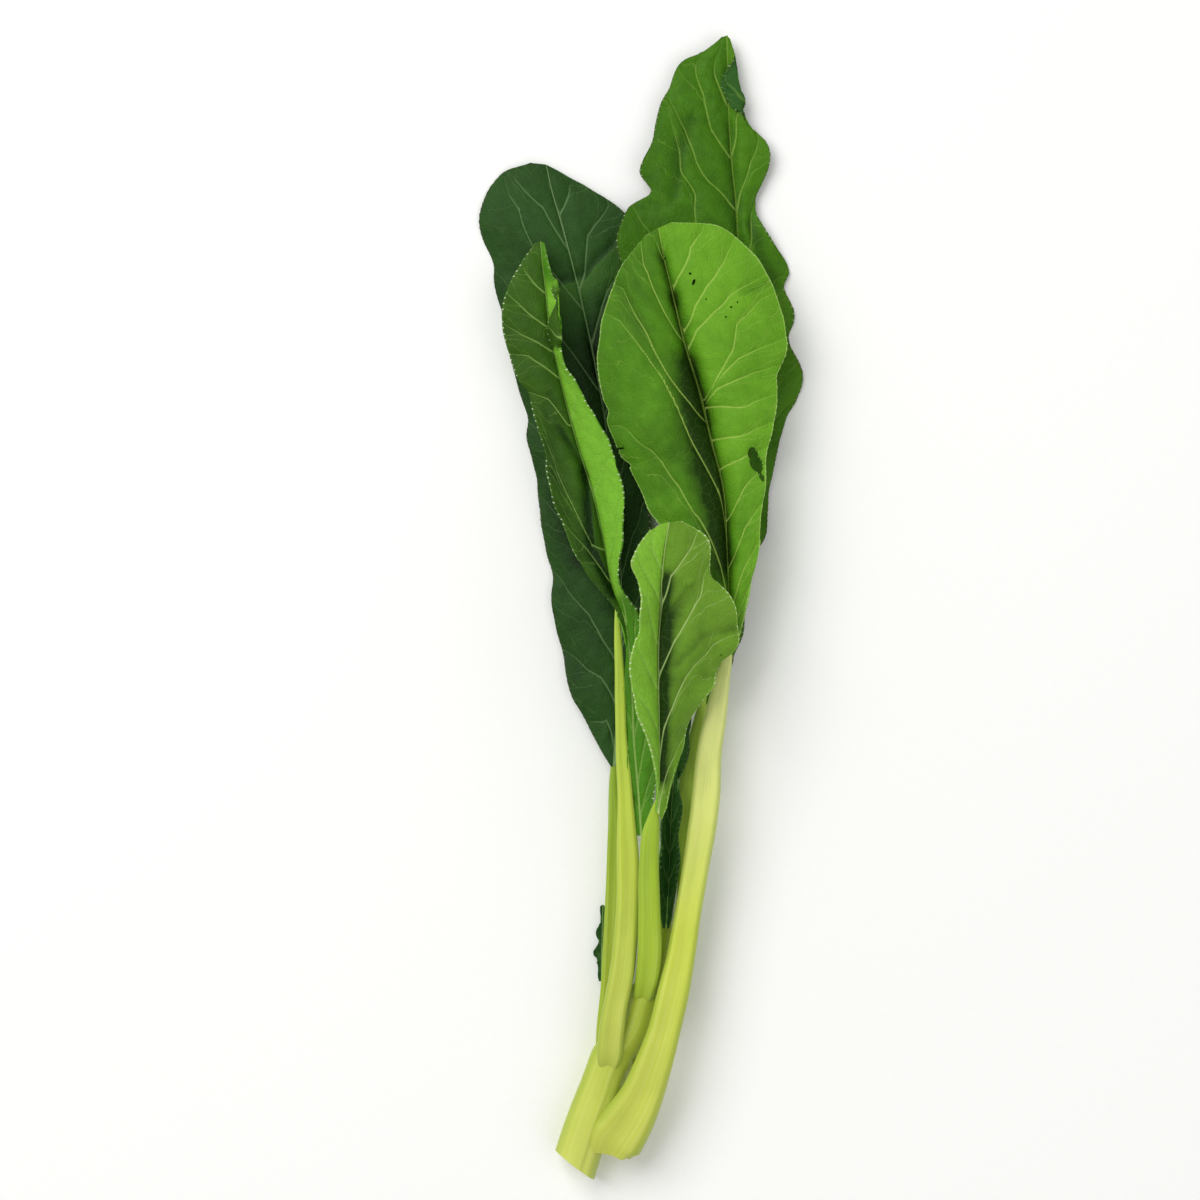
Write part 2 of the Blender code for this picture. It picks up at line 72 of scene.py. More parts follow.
# Leaf stalks, from the stem to the blade: X, Y and height of the middle, and the width.
STALKS = {
    "a": [
        (-10.6, -134, 9.8, 5),
        (-10.1, -131.2, 11.2, 6.8),
        (-9.5, -124, 12.3, 7.3),
        (-8.5, -116.5, 12.5, 7.2),
        (-6.4, -105.5, 12.5, 7.3),
        (-4.9, -89.5, 12.5, 6.8),
        (-4.7, -73, 12.5, 6.6),
        (-5, -65, 12.4, 5.8),
        (-5.5, -53.5, 12.3, 4.5),
        (-6.5, -39, 12.2, 3.5),
        (-7, -20.5, 12.3, 2.9),
        (-7.7, -6, 12.4, 2),
    ],
    "b": [
        (-0.9, -114.8, 8, 5.2),
        (-0.3, -112.6, 10, 6.2),
        (0.5, -109.4, 12, 6.7),
        (1.5, -101.5, 15, 7),
        (1.5, -89.5, 18, 6.4),
        (1.35, -73, 22, 5.8),
        (1.8, -65, 24, 5),
        (3, -58.4, 25.6, 2.6),
    ],
    "c": [
        (-10.4, -158.2, 8.4, 13.6),
        (-8.8, -154.9, 9.4, 16.6),
        (-6.3, -151.3, 10.2, 15.9),
        (-3.8, -147.4, 11.2, 14.6),
        (-1.2, -142.5, 12.2, 12.8),
        (2.3, -133.5, 13.5, 11),
        (5.5, -123.5, 14, 9.6),
        (8, -113.5, 14, 9.3),
        (10.5, -101.5, 14, 8.3),
        (12.5, -89.5, 14, 7.8),
        (14.6, -77, 14.5, 7.8),
        (18, -53.5, 15.5, 8),
        (18.7, -42.5, 16, 7.5),
        (20.6, -31.5, 16.2, 6.2),
        (22.6, -20.5, 16, 4.4),
        (24.1, -14.3, 15.7, 2.6),
    ],
    "d": [
        (-11.5, -134.5, 5, 5),
        (-11.2, -125.5, 5, 5.4),
        (-10, -109.5, 5, 5.2),
        (-9.5, -97.5, 5, 4.9),
        (-9, -81, 5, 4.3),
        (-8.6, -65, 5.2, 3.8),
        (-8.7, -46.8, 5, 2),
    ],
    "e": [
        (-5, -133, 5, 5),
        (1.5, -126, 4.6, 5.4),
        (7, -114, 4.5, 5.2),
        (10.5, -98, 4.5, 4.8),
        (12, -79, 4.5, 4.3),
        (12.4, -57.5, 5, 5.8),
        (14.4, -42.5, 5.5, 4.8),
        (17.2, -29, 6, 3.4),
    ],
}
STALK_DEPTH = 0.72  # height of a stalk's section as a share of its width
STALK_RIBS = (0.022, 13)  # height and number
GROOVE = 0.16  # depth of the channel along the upper side, as a share of the width

# Blades. Each station is a cut across the leaf, from the stalk to the tip: the left margin, the midrib and
# the right margin, each as X, Y and height. "lift" is how far each half rises between midrib and margin,
# "wave" is the height and number of the margin's ruffles, and "rib" is how deep the midrib is at the stalk.
BLADES = {
    "a": {
        "stations": [
            ((-1.8, -66, 12.4), (-0.8, -66, 12.6), (0.1, -66.5, 12.6)),
            ((-3.9, -54, 12.2), (-1.6, -54, 12.6), (3, -53, 13)),
            ((-5, -39, 12.2), (-2.9, -39, 12.6), (5, -37, 13)),
            ((-6, -21, 12.3), (-3.7, -21, 12.7), (3, -18.5, 13)),
            ((-6, -5, 13.6), (-5.2, -5, 13), (-1.5, -4, 15)),
            ((-16.5, 10, 13.6), (-9.5, 7, 13), (-7.6, 9, 19)),
            ((-23.5, 24, 13), (-12, 20.5, 12), (-6, 22, 20)),
            ((-27.5, 37, 12.5), (-15, 33.5, 11.5), (-6.5, 35, 20)),
            ((-30, 51, 12), (-19.5, 48, 11), (-10.5, 48.5, 20)),
            ((-33.5, 61, 11.5), (-23, 61, 11), (-17.5, 60.5, 19)),
            ((-37.5, 69.5, 11), (-25.5, 72, 11), (-24, 72.5, 18)),
            ((-41, 82, 11), (-27.5, 82, 11), (-24, 83.5, 17)),
            ((-39.5, 92, 10.5), (-28.5, 92, 10.5), (-25, 92, 15)),
            ((-35.5, 100.5, 10), (-29.5, 100.5, 10), (-27.5, 98.5, 13)),
            ((-31.5, 106, 9.5), (-30, 106.5, 9.5), (-29, 106, 10)),
        ],
        "lift": (1.6, 0.3),
        "wave": (0.8, 9),
        "rib": 1.2,
    },
    "b": {
        "stations": [
            ((3.4, -58.6, 27), (4, -59, 27), (5, -60.8, 27)),
            ((3.5, -47.5, 30), (4.3, -47, 27.5), (8, -51, 26.4)),
            ((0.5, -36, 34), (4.2, -35.5, 27.5), (12.6, -34.5, 27)),
            ((-3.5, -24, 36), (4, -23, 27.5), (19, -21.5, 26.6)),
            ((-3, -10, 36), (4, -10.5, 27.5), (27, -8.5, 27)),
            ((-0.5, 2.5, 35), (4.5, 0.5, 28), (25, 1.5, 27)),
            ((-3.5, 12, 35), (5, 9.5, 29), (19.5, 11.5, 28)),
            ((0.5, 21, 33), (6, 18.5, 30), (17, 21, 30)),
            ((4.5, 24, 31.5), (7, 24.5, 31), (10.5, 25, 31)),
        ],
        "lift": (0.6, 3.4),
        "wave": (0.7, 6),
        "rib": 2.2,
    },
    "c": {
        "stations": [
            ((23.5, -13.5, 17), (24.5, -13.5, 17), (25.5, -13.5, 17)),
            ((19.5, -0.5, 18), (24.5, 2.5, 15.5), (29.5, 0.5, 20)),
            ((13.5, 13.5, 17), (24, 17.5, 14), (33, 17.5, 21)),
            ((1.5, 29.5, 15), (23, 34, 13), (34.5, 33.5, 20)),
            ((-8, 47.5, 14.5), (19.5, 48.5, 12.5), (36.5, 48.5, 18)),
            ((-13, 64.5, 14), (16, 63, 12.5), (39, 65, 16.5)),
            ((-11.5, 86, 14), (11.5, 77.5, 13), (41, 79, 15)),
            ((-6.5, 99, 14), (8, 92, 13.5), (35.5, 96.5, 14)),
            ((-1, 106.5, 14.5), (5.5, 102.5, 14), (21.5, 110.5, 14.5)),
            ((1.5, 108.6, 14.5), (4.2, 110, 14.5), (8, 111.7, 14.5)),
        ],
        "lift": (4.8, 4.6),
        "wave": (0.5, 6),
        "rib": 2.6,
    },
    "d": {
        "stations": [
            ((-9.5, -46.1, 6), (-8.6, -45.9, 6), (-7.8, -46.1, 6)),
            ((-14.5, -38.5, 5), (-8, -34, 5.5), (-3.5, -35.5, 6)),
            ((-21, -24, 4), (-7, -19.5, 5), (-1, -21, 6)),
            ((-25.5, -5, 3), (-6.5, -3.5, 4.5), (0, -5, 6)),
            ((-28.5, 17, 2.5), (-7, 15.5, 4), (1, 14, 5.5)),
            ((-31.5, 37, 2), (-9, 35.5, 3.5), (1, 34, 5)),
            ((-35, 57.5, 1.5), (-11.5, 56, 3), (0, 54.5, 4.5)),
            ((-39.5, 77.5, 1), (-15, 75, 3), (-1, 75, 4)),
            ((-44, 98, 0.7), (-19.5, 95, 3), (-3, 96.5, 3)),
            ((-47.5, 115.5, 0.7), (-24, 112, 3), (-6, 115.5, 2.6)),
            ((-42.5, 126.5, 1), (-27, 122.5, 2.5), (-16, 122.5, 2.4)),
            ((-33, 130, 2), (-28.5, 129.5, 2), (-25.5, 128, 2)),
        ],
        "lift": (2.0, 1.2),
        "wave": (0.5, 8),
        "rib": 2.4,
    },
    "e": {
        "stations": [
            ((15.7, -28.2, 7), (17, -28.4, 7), (18.2, -28.2, 7)),
            ((13, -12, 7), (19.5, -13.5, 6.5), (27.5, -12, 7)),
            ((11, 8, 7), (22, 5, 6), (30.5, 9, 6)),
            ((10, 22, 7), (23.3, 19, 5.7), (34.5, 20.5, 4.5)),
            ((9, 34, 7), (24.4, 32, 5.4), (37.2, 33.5, 3.5)),
            ((8, 46, 7), (25.2, 44, 5), (38.5, 45.5, 2)),
            ((6, 56, 7), (25.9, 54, 4.8), (42, 54, 1.2)),
            ((4, 66, 7), (26.5, 64, 4.6), (45.8, 66.5, 0.8)),
            ((1, 78, 7), (27, 75, 4.3), (43, 78, 0.8)),
            ((-2.5, 88, 7.2), (27.4, 84, 4), (43.3, 86, 0.8)),
            ((-4.5, 96, 7.2), (27.5, 92, 3.7), (40.8, 93.5, 1.2)),
            ((-7.2, 103, 7.2), (27.5, 99, 3.5), (43, 99, 1.5)),
            ((-7, 111, 7), (27.5, 106.5, 3.3), (37.5, 106.5, 2.2)),
            ((-3.5, 117.8, 6.6), (27.2, 113, 3.2), (33.2, 114.5, 3)),
            ((1.8, 121.3, 5.6), (26.8, 119.5, 3.1), (33.3, 119.5, 3)),
            ((-0.7, 127.5, 5), (26.1, 126, 3), (36.2, 128, 3)),
            ((1.8, 135.5, 5), (25.4, 134, 3), (35.6, 136, 3.8)),
            ((4.4, 143.8, 4.6), (24.9, 142, 3), (30, 143, 5)),
            ((7, 150.5, 4), (24.6, 150, 3.2), (28.2, 151.5, 5)),
            ((10.5, 159.2, 4), (24.4, 157.5, 3.5), (27, 159, 5)),
            ((17.5, 162.4, 4), (24.3, 163, 3.8), (26, 163.5, 4.4)),
            ((23, 166.5, 4), (24.2, 167, 4), (25.2, 166, 4)),
        ],
        "lift": (1.6, 1.6),
        "wave": (0.6, 9),
        "rib": 2.4,
    },
}

# The young leaves, given in the same way.
YOUNG = {
    "shoot_leaf_1": {
        "stations": [
            ((5.6, -93, 10.7), (6.4, -93, 10.5), (7.2, -93, 10.7)),
            ((4.6, -80, 13), (7.2, -80, 10), (9.2, -80, 12.5)),
            ((4.8, -68, 14), (7.6, -68, 9.8), (9.8, -68, 12.5)),
            ((6, -58, 13), (8, -58, 9.8), (10.4, -58, 12)),
            ((8, -47, 10.8), (8.8, -46.5, 10.6), (9.6, -47, 10.8)),
        ],
        "lift": (0.2, 0.2),
        "wave": (0.3, 3),
        "rib": 1.2,
    },
    "shoot_leaf_2": {
        "stations": [
            ((6.2, -55.4, 7.6), (7, -55.4, 7.2), (7.8, -55.4, 7.6)),
            ((5.6, -46, 10), (8.4, -46, 7.4), (11.6, -46, 11)),
            ((6.6, -36, 10.2), (9.4, -36, 7.8), (13, -36, 12)),
            ((8, -28, 10.4), (10.4, -27, 8.4), (12.8, -28, 11.5)),
            ((10.3, -21.6, 10.2), (10.9, -21, 10), (11.5, -21.6, 10.2)),
        ],
        "lift": (0.2, 0.2),
        "wave": (0.3, 3),
        "rib": 1.2,
    },
    "small_leaf": {
        "stations": [
            ((-13, -109, 2.6), (-12.2, -109, 2.6), (-11.2, -109, 2.6)),
            ((-13.8, -105, 2.6), (-12.2, -105, 2.65), (-10.8, -105, 2.6)),
            ((-14.4, -99.5, 2.6), (-12.2, -99, 2.65), (-10.6, -99, 2.6)),
            ((-13.3, -93, 2.6), (-12, -93, 2.65), (-10.6, -93, 2.6)),
            ((-12.6, -87, 2.65), (-11.9, -86.6, 2.65), (-11.4, -87, 2.65)),
        ],
        "lift": (0.1, 0.1),
        "wave": (0.1, 3),
        "rib": 0.8,
    },
}

FULL_LIFT_WIDTH = 8.0  # a half narrower than this bulges less
FINENESS = 0.55  # spacing of the points on a blade
YOUNG_FINENESS = 0.4  # and on a young leaf
LEAF_THICKNESS = 0.5
RUFFLE_SHIFT = 1.3  # the ruffles of the left margin are ahead of the right one's by this, in radians
RUFFLE_SIDEWAYS = 0.5  # how far the ruffles also swing outwards
CURL_GAP = 0.7  # height of a rolled margin over the leaf, where it turns back
CURL_RISE = 0.12  # and its slope from there on
FULL_PUFF_SPACING = 7.0  # side veins closer than this have flatter puffs between them
CRINKLES = ((0.34, 4.2), (0.16, 1.9))  # finer unevenness: height as a share of the puffs', and breadth
VEIN_GROOVE = 0.20  # depth of the groove along a side vein
VEIN_GROOVE_REACH = 0.5  # and how far it reaches to each side
MIDRIB_RIDGE = 0.3  # height of the soft ridge along the midrib at the stalk
TOOTH = 1.8  # length of one of the margin's small teeth
TOOTH_DEPTH = 0.30
TOOTH_ROOT = 1.6  # how far in from the margin a tooth begins
TOOTH_RISE, TOOTH_FALL = 0.7, 0.3  # the shares of its length over which it rises and falls
WAVER = 0.45  # height of the margin's slow, uneven waves
STEM_ROUND = 96  # points round the stem
STEM_RINGS = 190
STEM_LENGTH = 118.0  # roughly, to place its ribs
STALK_ROUND = 64  # points round a stalk
STALK_STEP = 1.0  # spacing of the rings along a stalk
SHARP_EDGE = math.radians(50)  # an edge sharper than this isn't shaded smooth

# Where a stalk runs on along its blade's midrib: its width at the blade, and the share of the blade's
# length over which it thins out. The other stalks end in a point: X, Y, height and width.
STALK_RUNS = {"b": (1.5, 0.40), "c": (1.0, 0.16), "e": (1.4, 0.20)}
STALK_TIPS = {"a": (-8.1, 2.3, 13.3, 0.5), "d": (-8.3, -42.0, 5.4, 1.2)}

# The cut face, in rings from its middle to its rim: share of the radius, and how far it bulges.
CUT_ROUGHNESS = 0.10
CUT_PROFILE = ((0.03, 0.35), (0.35, 0.30), (0.62, 0.22), (0.80, 0.02), (0.88, 0.10), (0.97, -0.02))

PHOTO_WIDTH = 1200  # pixels each way
PHOTO_SCALE = 0.29  # millimetres to a pixel of the photograph
PHOTO_AXIS = (644, 608)  # pixel of the photograph at the drawing's X = Y = 0

# Side veins of the left and the right half, from the stalk to the tip. Each is a line of points: share of
# the leaf's length, and share of the way from midrib to margin. One given as plain numbers is at those
# shares of the length at the midrib, half way out where there are three, and at the margin.
VEINS = {
    "a": (
        [
            (0.3, 0.37), (0.43, 0.52), [(0.487, 0.36), (0.509, 0.44), (0.591, 0.73), (0.665, 0.9)],
            [(0.69, 0.1), (0.729, 0.46), (0.745, 0.92)],
            [(0.764, 0), (0.788, 0.29), (0.812, 0.61), (0.82, 1)],
            [(0.81, 0), (0.832, 0.31), (0.85, 0.69), (0.865, 1)],
            [(0.855, 0), (0.894, 0.66), (0.91, 1)], (0.91, 0.96),
        ],
        [
            (0.02, 0.13), (0.08, 0.17, 0.21), (0.16, 0.25, 0.29), (0.24, 0.33, 0.37),
            (0.34, 0.4, 0.45), (0.46, 0.54), (0.58, 0.64), (0.7, 0.76), (0.8, 0.86), (0.88, 0.94),
        ],
    ),
    "b": (
        [
            (0.1, 0.22, 0.3), (0.26, 0.37, 0.45), (0.42, 0.52, 0.6), (0.58, 0.67, 0.74),
            (0.72, 0.8, 0.87), (0.84, 0.96),
        ],
        [
            [(-0.01, 0), (0.01, 0.12), (0.17, 0.58), (0.251, 0.95)],
            [(0.12, 0), (0.286, 0.15), (0.361, 0.34), (0.569, 0.68), (0.596, 1)],
            [(0.456, 0), (0.586, 0.19), (0.722, 0.51), (0.8, 0.8), (0.84, 1)],
            [(0.7, 0), (0.744, 0.07), (0.812, 0.17), (0.92, 0.75), (0.95, 1)],
        ],
    ),
    "c": (
        [
            [(0.05, 0), (0.278, 0.4), (0.316, 0.49), (0.376, 0.53), (0.466, 0.66), (0.52, 0.9)],
            [(0.14, 0), (0.343, 0.05), (0.475, 0.2), (0.574, 0.27), (0.624, 0.34), (0.667, 0.49),
             (0.72, 0.8)],
            [(0.52, 0), (0.62, 0.26), (0.7, 0.46), (0.79, 0.85)], (0.72, 0.86, 0.94),
        ],
        [
            (0.06, 0.16, 0.24), (0.17, 0.26, 0.33), (0.28, 0.36, 0.42),
            [(0.405, 0), (0.414, 0.1), (0.436, 0.53), (0.46, 1)], (0.48, 0.49, 0.515),
            [(0.56, 0), (0.559, 0.17), (0.556, 0.56), (0.575, 1)],
            [(0.564, 0), (0.6, 0.22), (0.62, 0.5), (0.65, 1)],
            [(0.567, 0), (0.62, 0.25), (0.672, 0.5), (0.725, 1)],
            [(0.57, 0), (0.596, 0.15), (0.654, 0.34), (0.697, 0.46), (0.752, 0.54), (0.797, 0.83),
             (0.81, 1)],
            [(0.7, 0), (0.749, 0.15), (0.782, 0.36), (0.81, 0.56), (0.845, 1)],
            [(0.74, 0), (0.772, 0.12), (0.799, 0.19), (0.837, 0.36), (0.89, 0.75), (0.91, 1)],
            [(0.84, 0), (0.87, 0.1), (0.927, 0.41), (0.96, 1)],
        ],
    ),
    "d": (
        [
            [(0.08, 0), (0.148, 0.39), (0.2, 1)], (0.15, 0.24, 0.31), (0.26, 0.36, 0.43),
            (0.38, 0.48, 0.55), (0.5, 0.6, 0.67), [(0.6, 0), (0.663, 0.24), (0.72, 0.5), (0.79, 1)],
            [(0.74, 0), (0.826, 0.4), (0.902, 0.52), (0.95, 0.9)],
            [(0.84, 0), (0.91, 0.2), (0.965, 0.9)],
        ],
        [
            (0.06, 0.12, 0.18), (0.18, 0.25, 0.31), (0.3, 0.38, 0.45), (0.43, 0.51, 0.58),
            (0.56, 0.64, 0.71), (0.68, 0.77, 0.83), [(0.77, 0), (0.8, 0.17), (0.858, 0.34), (0.92, 1)],
            (0.9, 0.95, 0.98),
        ],
    ),
    "e": (
        [
            (0.06, 0.12, 0.18), (0.18, 0.25, 0.31), (0.3, 0.38, 0.45), (0.42, 0.5, 0.57),
            [(0.53, 0), (0.63, 0.45), (0.72, 1)],
            [(0.64, 0), (0.705, 0.36), (0.766, 0.5), (0.82, 0.62), (0.882, 0.9)],
            [(0.735, 0), (0.776, 0.27), (0.85, 0.6), (0.9, 0.96)],
            [(0.812, 0), (0.856, 0.25), (0.908, 0.41), (0.96, 0.75), (0.975, 1)],
        ],
        [
            (0.08, 0.14, 0.2), (0.2, 0.27, 0.33), (0.31, 0.39, 0.45), (0.42, 0.49, 0.54),
            (0.53, 0.6, 0.65), (0.64, 0.7, 0.75), (0.73, 0.8, 0.85),
            [(0.816, 0), (0.9, 0.6), (0.95, 1)],
        ],
    ),
}

# The young leaves' side veins, alike in both halves.
YOUNG_VEINS = ([(0.1, 0.28), (0.28, 0.46), (0.46, 0.64), (0.64, 0.82), (0.82, 0.96)],) * 2

# Folds and creases seen from above: a line of points X, Y, how far the fold reaches to the line's left and
# to its right, its depth, and how much it darkens (minus) or lightens the leaf. The darkening is painted
# shade, laid into the leaf's colour along the fold.
FOLDS = {
    "a": [
        ([(-23.8, 52), (-18.8, 43), (-16.3, 38)], 0.6, 1.7, 0.6, -0.32),
        ([(-16.8, 39), (-16.2, 32), (-15, 18), (-8.7, 4.5)], 0.6, 1.9, 0.8, -0.62),
        ([(-24.6, 96), (-24, 88), (-24, 78), (-24, 70)], 1.6, 0.8, 0.5, -0.20),
        ([(-28, 60), (-27, 44), (-24, 30), (-17, 15)], 3, 2, 0.5, -0.15),
        ([(-2, -66), (-3, -54), (-4.3, -39), (-5, -21), (-5.5, -8)], 2.5, 2.5, 0, 0.55),
    ],
    "b": [
        ([(4.4, -48), (4.6, -25), (4.5, -5), (5.5, 8)], 0.4, 2.6, 0.5, -0.75),
        ([(5.5, -12), (8.5, 0), (12.5, 5.5)], 1, 2.6, 0.6, -0.22),
        ([(10, -16), (17, -8), (26, -6)], 1.6, 0.8, 0.3, -0.16),
    ],
    "c": [
        ([(24.9, 0), (24.8, 10), (24.2, 26), (21.5, 42), (18.5, 54), (14.5, 68)], 0.5, 0.8, 0.6, -0.38),
        ([(5.4, 102), (7, 96), (9, 88.5)], 1.6, 1.5, 0.6, -0.28),
        ([(8.6, 90), (11.6, 79.5), (14.2, 70.3), (16.2, 61.8), (18.5, 53.4)], 2.2, 1.5, 1, -0.42),
        ([(13.3, 70), (14.5, 60), (16, 51.6), (19, 38.9), (22, 25.5), (23.8, 14)], 3, 5.5, 1.2, -0.56),
        ([(36, 94), (33, 92.5), (29, 91)], 0.8, 1.6, 0.3, -0.25),
        ([(-5, 88), (-1, 80), (4, 72)], 2, 3, 0.5, -0.14),
        ([(32, 46), (30, 36), (28, 20)], 2.5, 2, 0.5, -0.12),
    ],
    "d": [
        ([(-25, 95), (-17, 97), (-14, 101), (-9, 106)], 1.8, 0.7, 0.6, -0.18),
        ([(-26, 93.5), (-17, 95.5), (-14, 99.5), (-9, 104.5)], 0.3, 8, 0, 0.40),
        ([(-12.5, 88), (-13.5, 72), (-16, 55), (-21, 35), (-18, 15)], 6.5, 6.5, 0.3, -0.36),
    ],
    "e": [
        ([(28.6, 104), (28, 112), (26.5, 128), (25.8, 140)], 2.4, 1.4, 0.5, -0.16),
        ([(31, 112), (34, 102), (38, 94)], 2.2, 1.2, 0.6, -0.25),
        ([(9, 120), (11, 133), (14, 142)], 2.4, 1.4, 0.6, -0.18),
        ([(36, 60), (32, 40), (30, 20)], 3, 2, 0.6, -0.14),
    ],
}

# Insect holes and tears, seen from above: middle X, Y, half length, half width and turn in degrees.
HOLES = {
    "c": [(31.4, 44.4, 2.1, 1.5, 105), (32.4, 41.8, 2.7, 1.9, 115), (33.7, 38.2, 1.9, 0.7, 112),
          (-6.6, 46.2, 1.4, 0.35, 8), (6.1, 101.2, 0.4, 0.4, 0),
          (13.3, 96.7, 0.45, 0.4, 0), (14.3, 94.2, 1, 0.45, 70), (18, 89.3, 0.35, 0.35, 0),
          (25.1, 87, 0.5, 0.4, 0), (23.6, 84.1, 0.4, 0.4, 0), (27, 88.4, 0.4, 0.35, 0)],
    "b": [(22, -13.5, 0.4, 0.35, 0)],
}

# Margins rolled back over the leaf: the side, and how wide the strip is at shares of the leaf's length.
CURLS = {
    "a": ("right", [(0.812, 0), (0.826, 8), (0.852, 7.6), (0.878, 4.6), (0.892, 1.4), (0.914, 2.4),
                    (0.938, 0)]),
    "e": ("right", [(0.872, 0), (0.888, 3.8), (0.906, 5), (0.926, 6), (0.94, 5), (0.952, 1.5), (0.96, 0)]),
}

# Dents and bulges of a leaf's outline, the left margin's and then the right one's: share of the leaf's
# length, depth, below zero for a bulge, and reach as a share of the length.
DENTS = {
    "small_leaf": ([(0.30, 0.7, 0.05), (0.52, 0.9, 0.06), (0.75, 0.6, 0.05)], []),
    "b": ([(0.62, 1.2, 0.03), (0.86, 0.5, 0.02)],
          [(0.42, -1.2, 0.03), (0.50, 1.2, 0.02), (0.80, 0.9, 0.02)]),
    "c": ([(0.44, 1.2, 0.008), (0.55, 1.2, 0.015), (0.30, -0.8, 0.02)],
          [(0.62, 0.5, 0.02), (0.44, 0.5, 0.03)]),
    "d": ([(0.30, 0.6, 0.02), (0.55, 0.6, 0.02), (0.80, 0.5, 0.02)], [(0.5, 0.4, 0.03)]),
}

# How each blade looks. "greens" run from the painted shade of the folds to the brightest part, and "tone" says
# where the left and the right half lie between them; that is partly each half's own green and partly painted
# light and shade, the half turned more to the light made lighter. "under" is the green of the underside, and
# "turned" the half that shows it, with the shares of the length where that begins and ends. The valley shade
# is the share of a half over which painted shade darkens it towards the midrib, and "puff" how high the leaf
# swells between its side veins. "rough" is the upper side's roughness. "vein" is the veins' colour, the side
# veins' strength and the midrib's towards the tip. "rim" is the colour and strength of the margin's line, and
# "dots" the strength of its pores.
LOOKS = {
    "a": {"greens": ("0F2A04", "365C10", "4C861A"), "tone": (0.42, 0.92), "under": "78B432",
          "turned": ("right", 0.40, 0.905), "valley_shade": 0.12, "puff": 0.60, "rough": 0.45,
          "vein": ("8FB05A", 0.6, 0.7), "rim": ("4F7A2A", 0.3), "dots": 0.8},
    "b": {"greens": ("1A3405", "648E26", "7EAA34"), "tone": (0.5, 0.5), "under": "84BE38",
          "turned": ("left", 0.0, 2.0), "valley_shade": 0.08, "puff": 0.32, "rough": 0.55,
          "vein": ("B4CC80", 0.65, 0.8), "rim": ("9CC060", 0.5), "dots": 0.8},
    "c": {"greens": ("1C3606", "4C8014", "70AA26"), "tone": (0.46, 0.80), "under": "86B84A",
          "turned": None, "valley_shade": 0.06, "puff": 0.55, "rough": 0.55,
          "vein": ("A9C85C", 0.62, 0.80), "rim": ("A4C868", 0.5), "dots": 0.3},
    "d": {"greens": ("0A1C04", "284C1A", "3C6420"), "tone": (0.46, 0.46), "under": "5F8A40",
          "turned": None, "valley_shade": 0.06, "puff": 0.45, "rough": 0.45,
          "vein": ("7F9F68", 0.40, 0.6), "rim": ("2C3012", 0.6), "dots": 0.25},
    "e": {"greens": ("123204", "42740E", "5C8C12"), "tone": (0.42, 0.56), "under": "2F5A22",
          "turned": None, "valley_shade": 0.06, "puff": 0.70, "rough": 0.45,
          "vein": ("8AAC48", 0.6, 0.6), "rim": ("3A3A18", 0.5), "dots": 0.45},
}
YOUNG_LOOK = {"greens": ("0B2606", "1F4614", "4A7A2A"), "tone": (0.5, 0.5), "under": "4F8434",
              "turned": None, "valley_shade": 0.1, "puff": 0.25, "rough": 0.45,
              "vein": ("88AC60", 0.16, 0.6), "rim": ("2C3A14", 0.3), "dots": 0.15}
UNDERSIDE_ROUGH = 0.68  # roughness of every leaf's underside
# Painted shade: the leaf's colour is made darker where its margin is rolled over it
CURL_SHADE = 0.45  # how much darker the leaf is where its margin is rolled over it
PORE_WHITE = "DDE8C4"  # the water pores at the teeth
VEIN_HALF_WIDTHS = (0.42, 0.16)  # of a side vein, at the midrib and at the margin
NET_MESH = 2.6  # breadth of a mesh in the net of the finest veins
NET_BEND = 2.4  # how far the net is bent out of line
NET_STRENGTH = 0.045
FORK_STRENGTH = 0.4  # as a share of the side veins' strength

# Forks of the side veins: the share of the way to the margin at which one starts, whether it leaves this
# vein (0) or the next (1), and how far it gets towards the other by the margin, as a share of their spacing.
FORKS = ((0.34, 0.0, 0.36), (0.52, 1.0, -0.34), (0.62, 0.0, 0.62), (0.16, 1.0, -0.45))

# Greens of each leaf stalk: at its foot, half way, at the blade, and where it has become the midrib.
STALK_COLOURS = {
    "a": ("BAC252", "C4D24C", "B4CC44", "A8C848"),
    "b": ("A8C036", "A6C22C", "9CBC2C", "A9C86A"),
    # At its blade stalk c is paler than its own cream: painted light where blade B's shadow falls on it
    "c": ("C6CC56", "CAD64E", "EEF29C", "A9C85C"),
    "d": ("AEC23C", "A4B834", "92AE30", "8FB05A"),
    # Stalk e's green at the blade is lightened: painted light where stalk c and the blades shade it
    "e": ("A4B83C", "92B036", "B0CC54", "8FAE50"),
}
STEM_COLOURS = ("CED464", "BAC646", "94AC22", "829E26")  # from the cut end to the shoot
# The darker green of the stalks' flanks is partly their own green and partly painted shade
FIBRE_AND_FLANK_SHADE_GREEN = "86A42A"  # the stalks' flanks and darker fibres
FIBRE_PALE = "E3E8A6"  # and the paler fibres between them


def place(points):
    """The drawing's millimetres as metres in the part's frame."""
    return (np.asarray(points, float) - (*ORIGIN, 0.0)) * MM


def smooth_step(low, high, value):
    share = np.clip((value - low) / (high - low), 0.0, 1.0)
    return share * share * (3.0 - 2.0 * share)


def curve_through(knots, points, at):
    """Smooth curve through points given at the knots, read at each value of at."""
    knots = np.asarray(knots, float)
    points = np.asarray(points, float)
    slopes = np.gradient(points, knots, axis=0)
    piece = np.clip(np.searchsorted(knots, at, side="right") - 1, 0, len(knots) - 2)
    width = knots[piece + 1] - knots[piece]
    u = ((at - knots[piece]) / width)[:, None]
    width = width[:, None]
    start, end = points[piece], points[piece + 1]
    return (
        (2 * u**3 - 3 * u**2 + 1) * start
        + (u**3 - 2 * u**2 + u) * width * slopes[piece]
        + (3 * u**2 - 2 * u**3) * end
        + (u**3 - u**2) * width * slopes[piece + 1]
    )


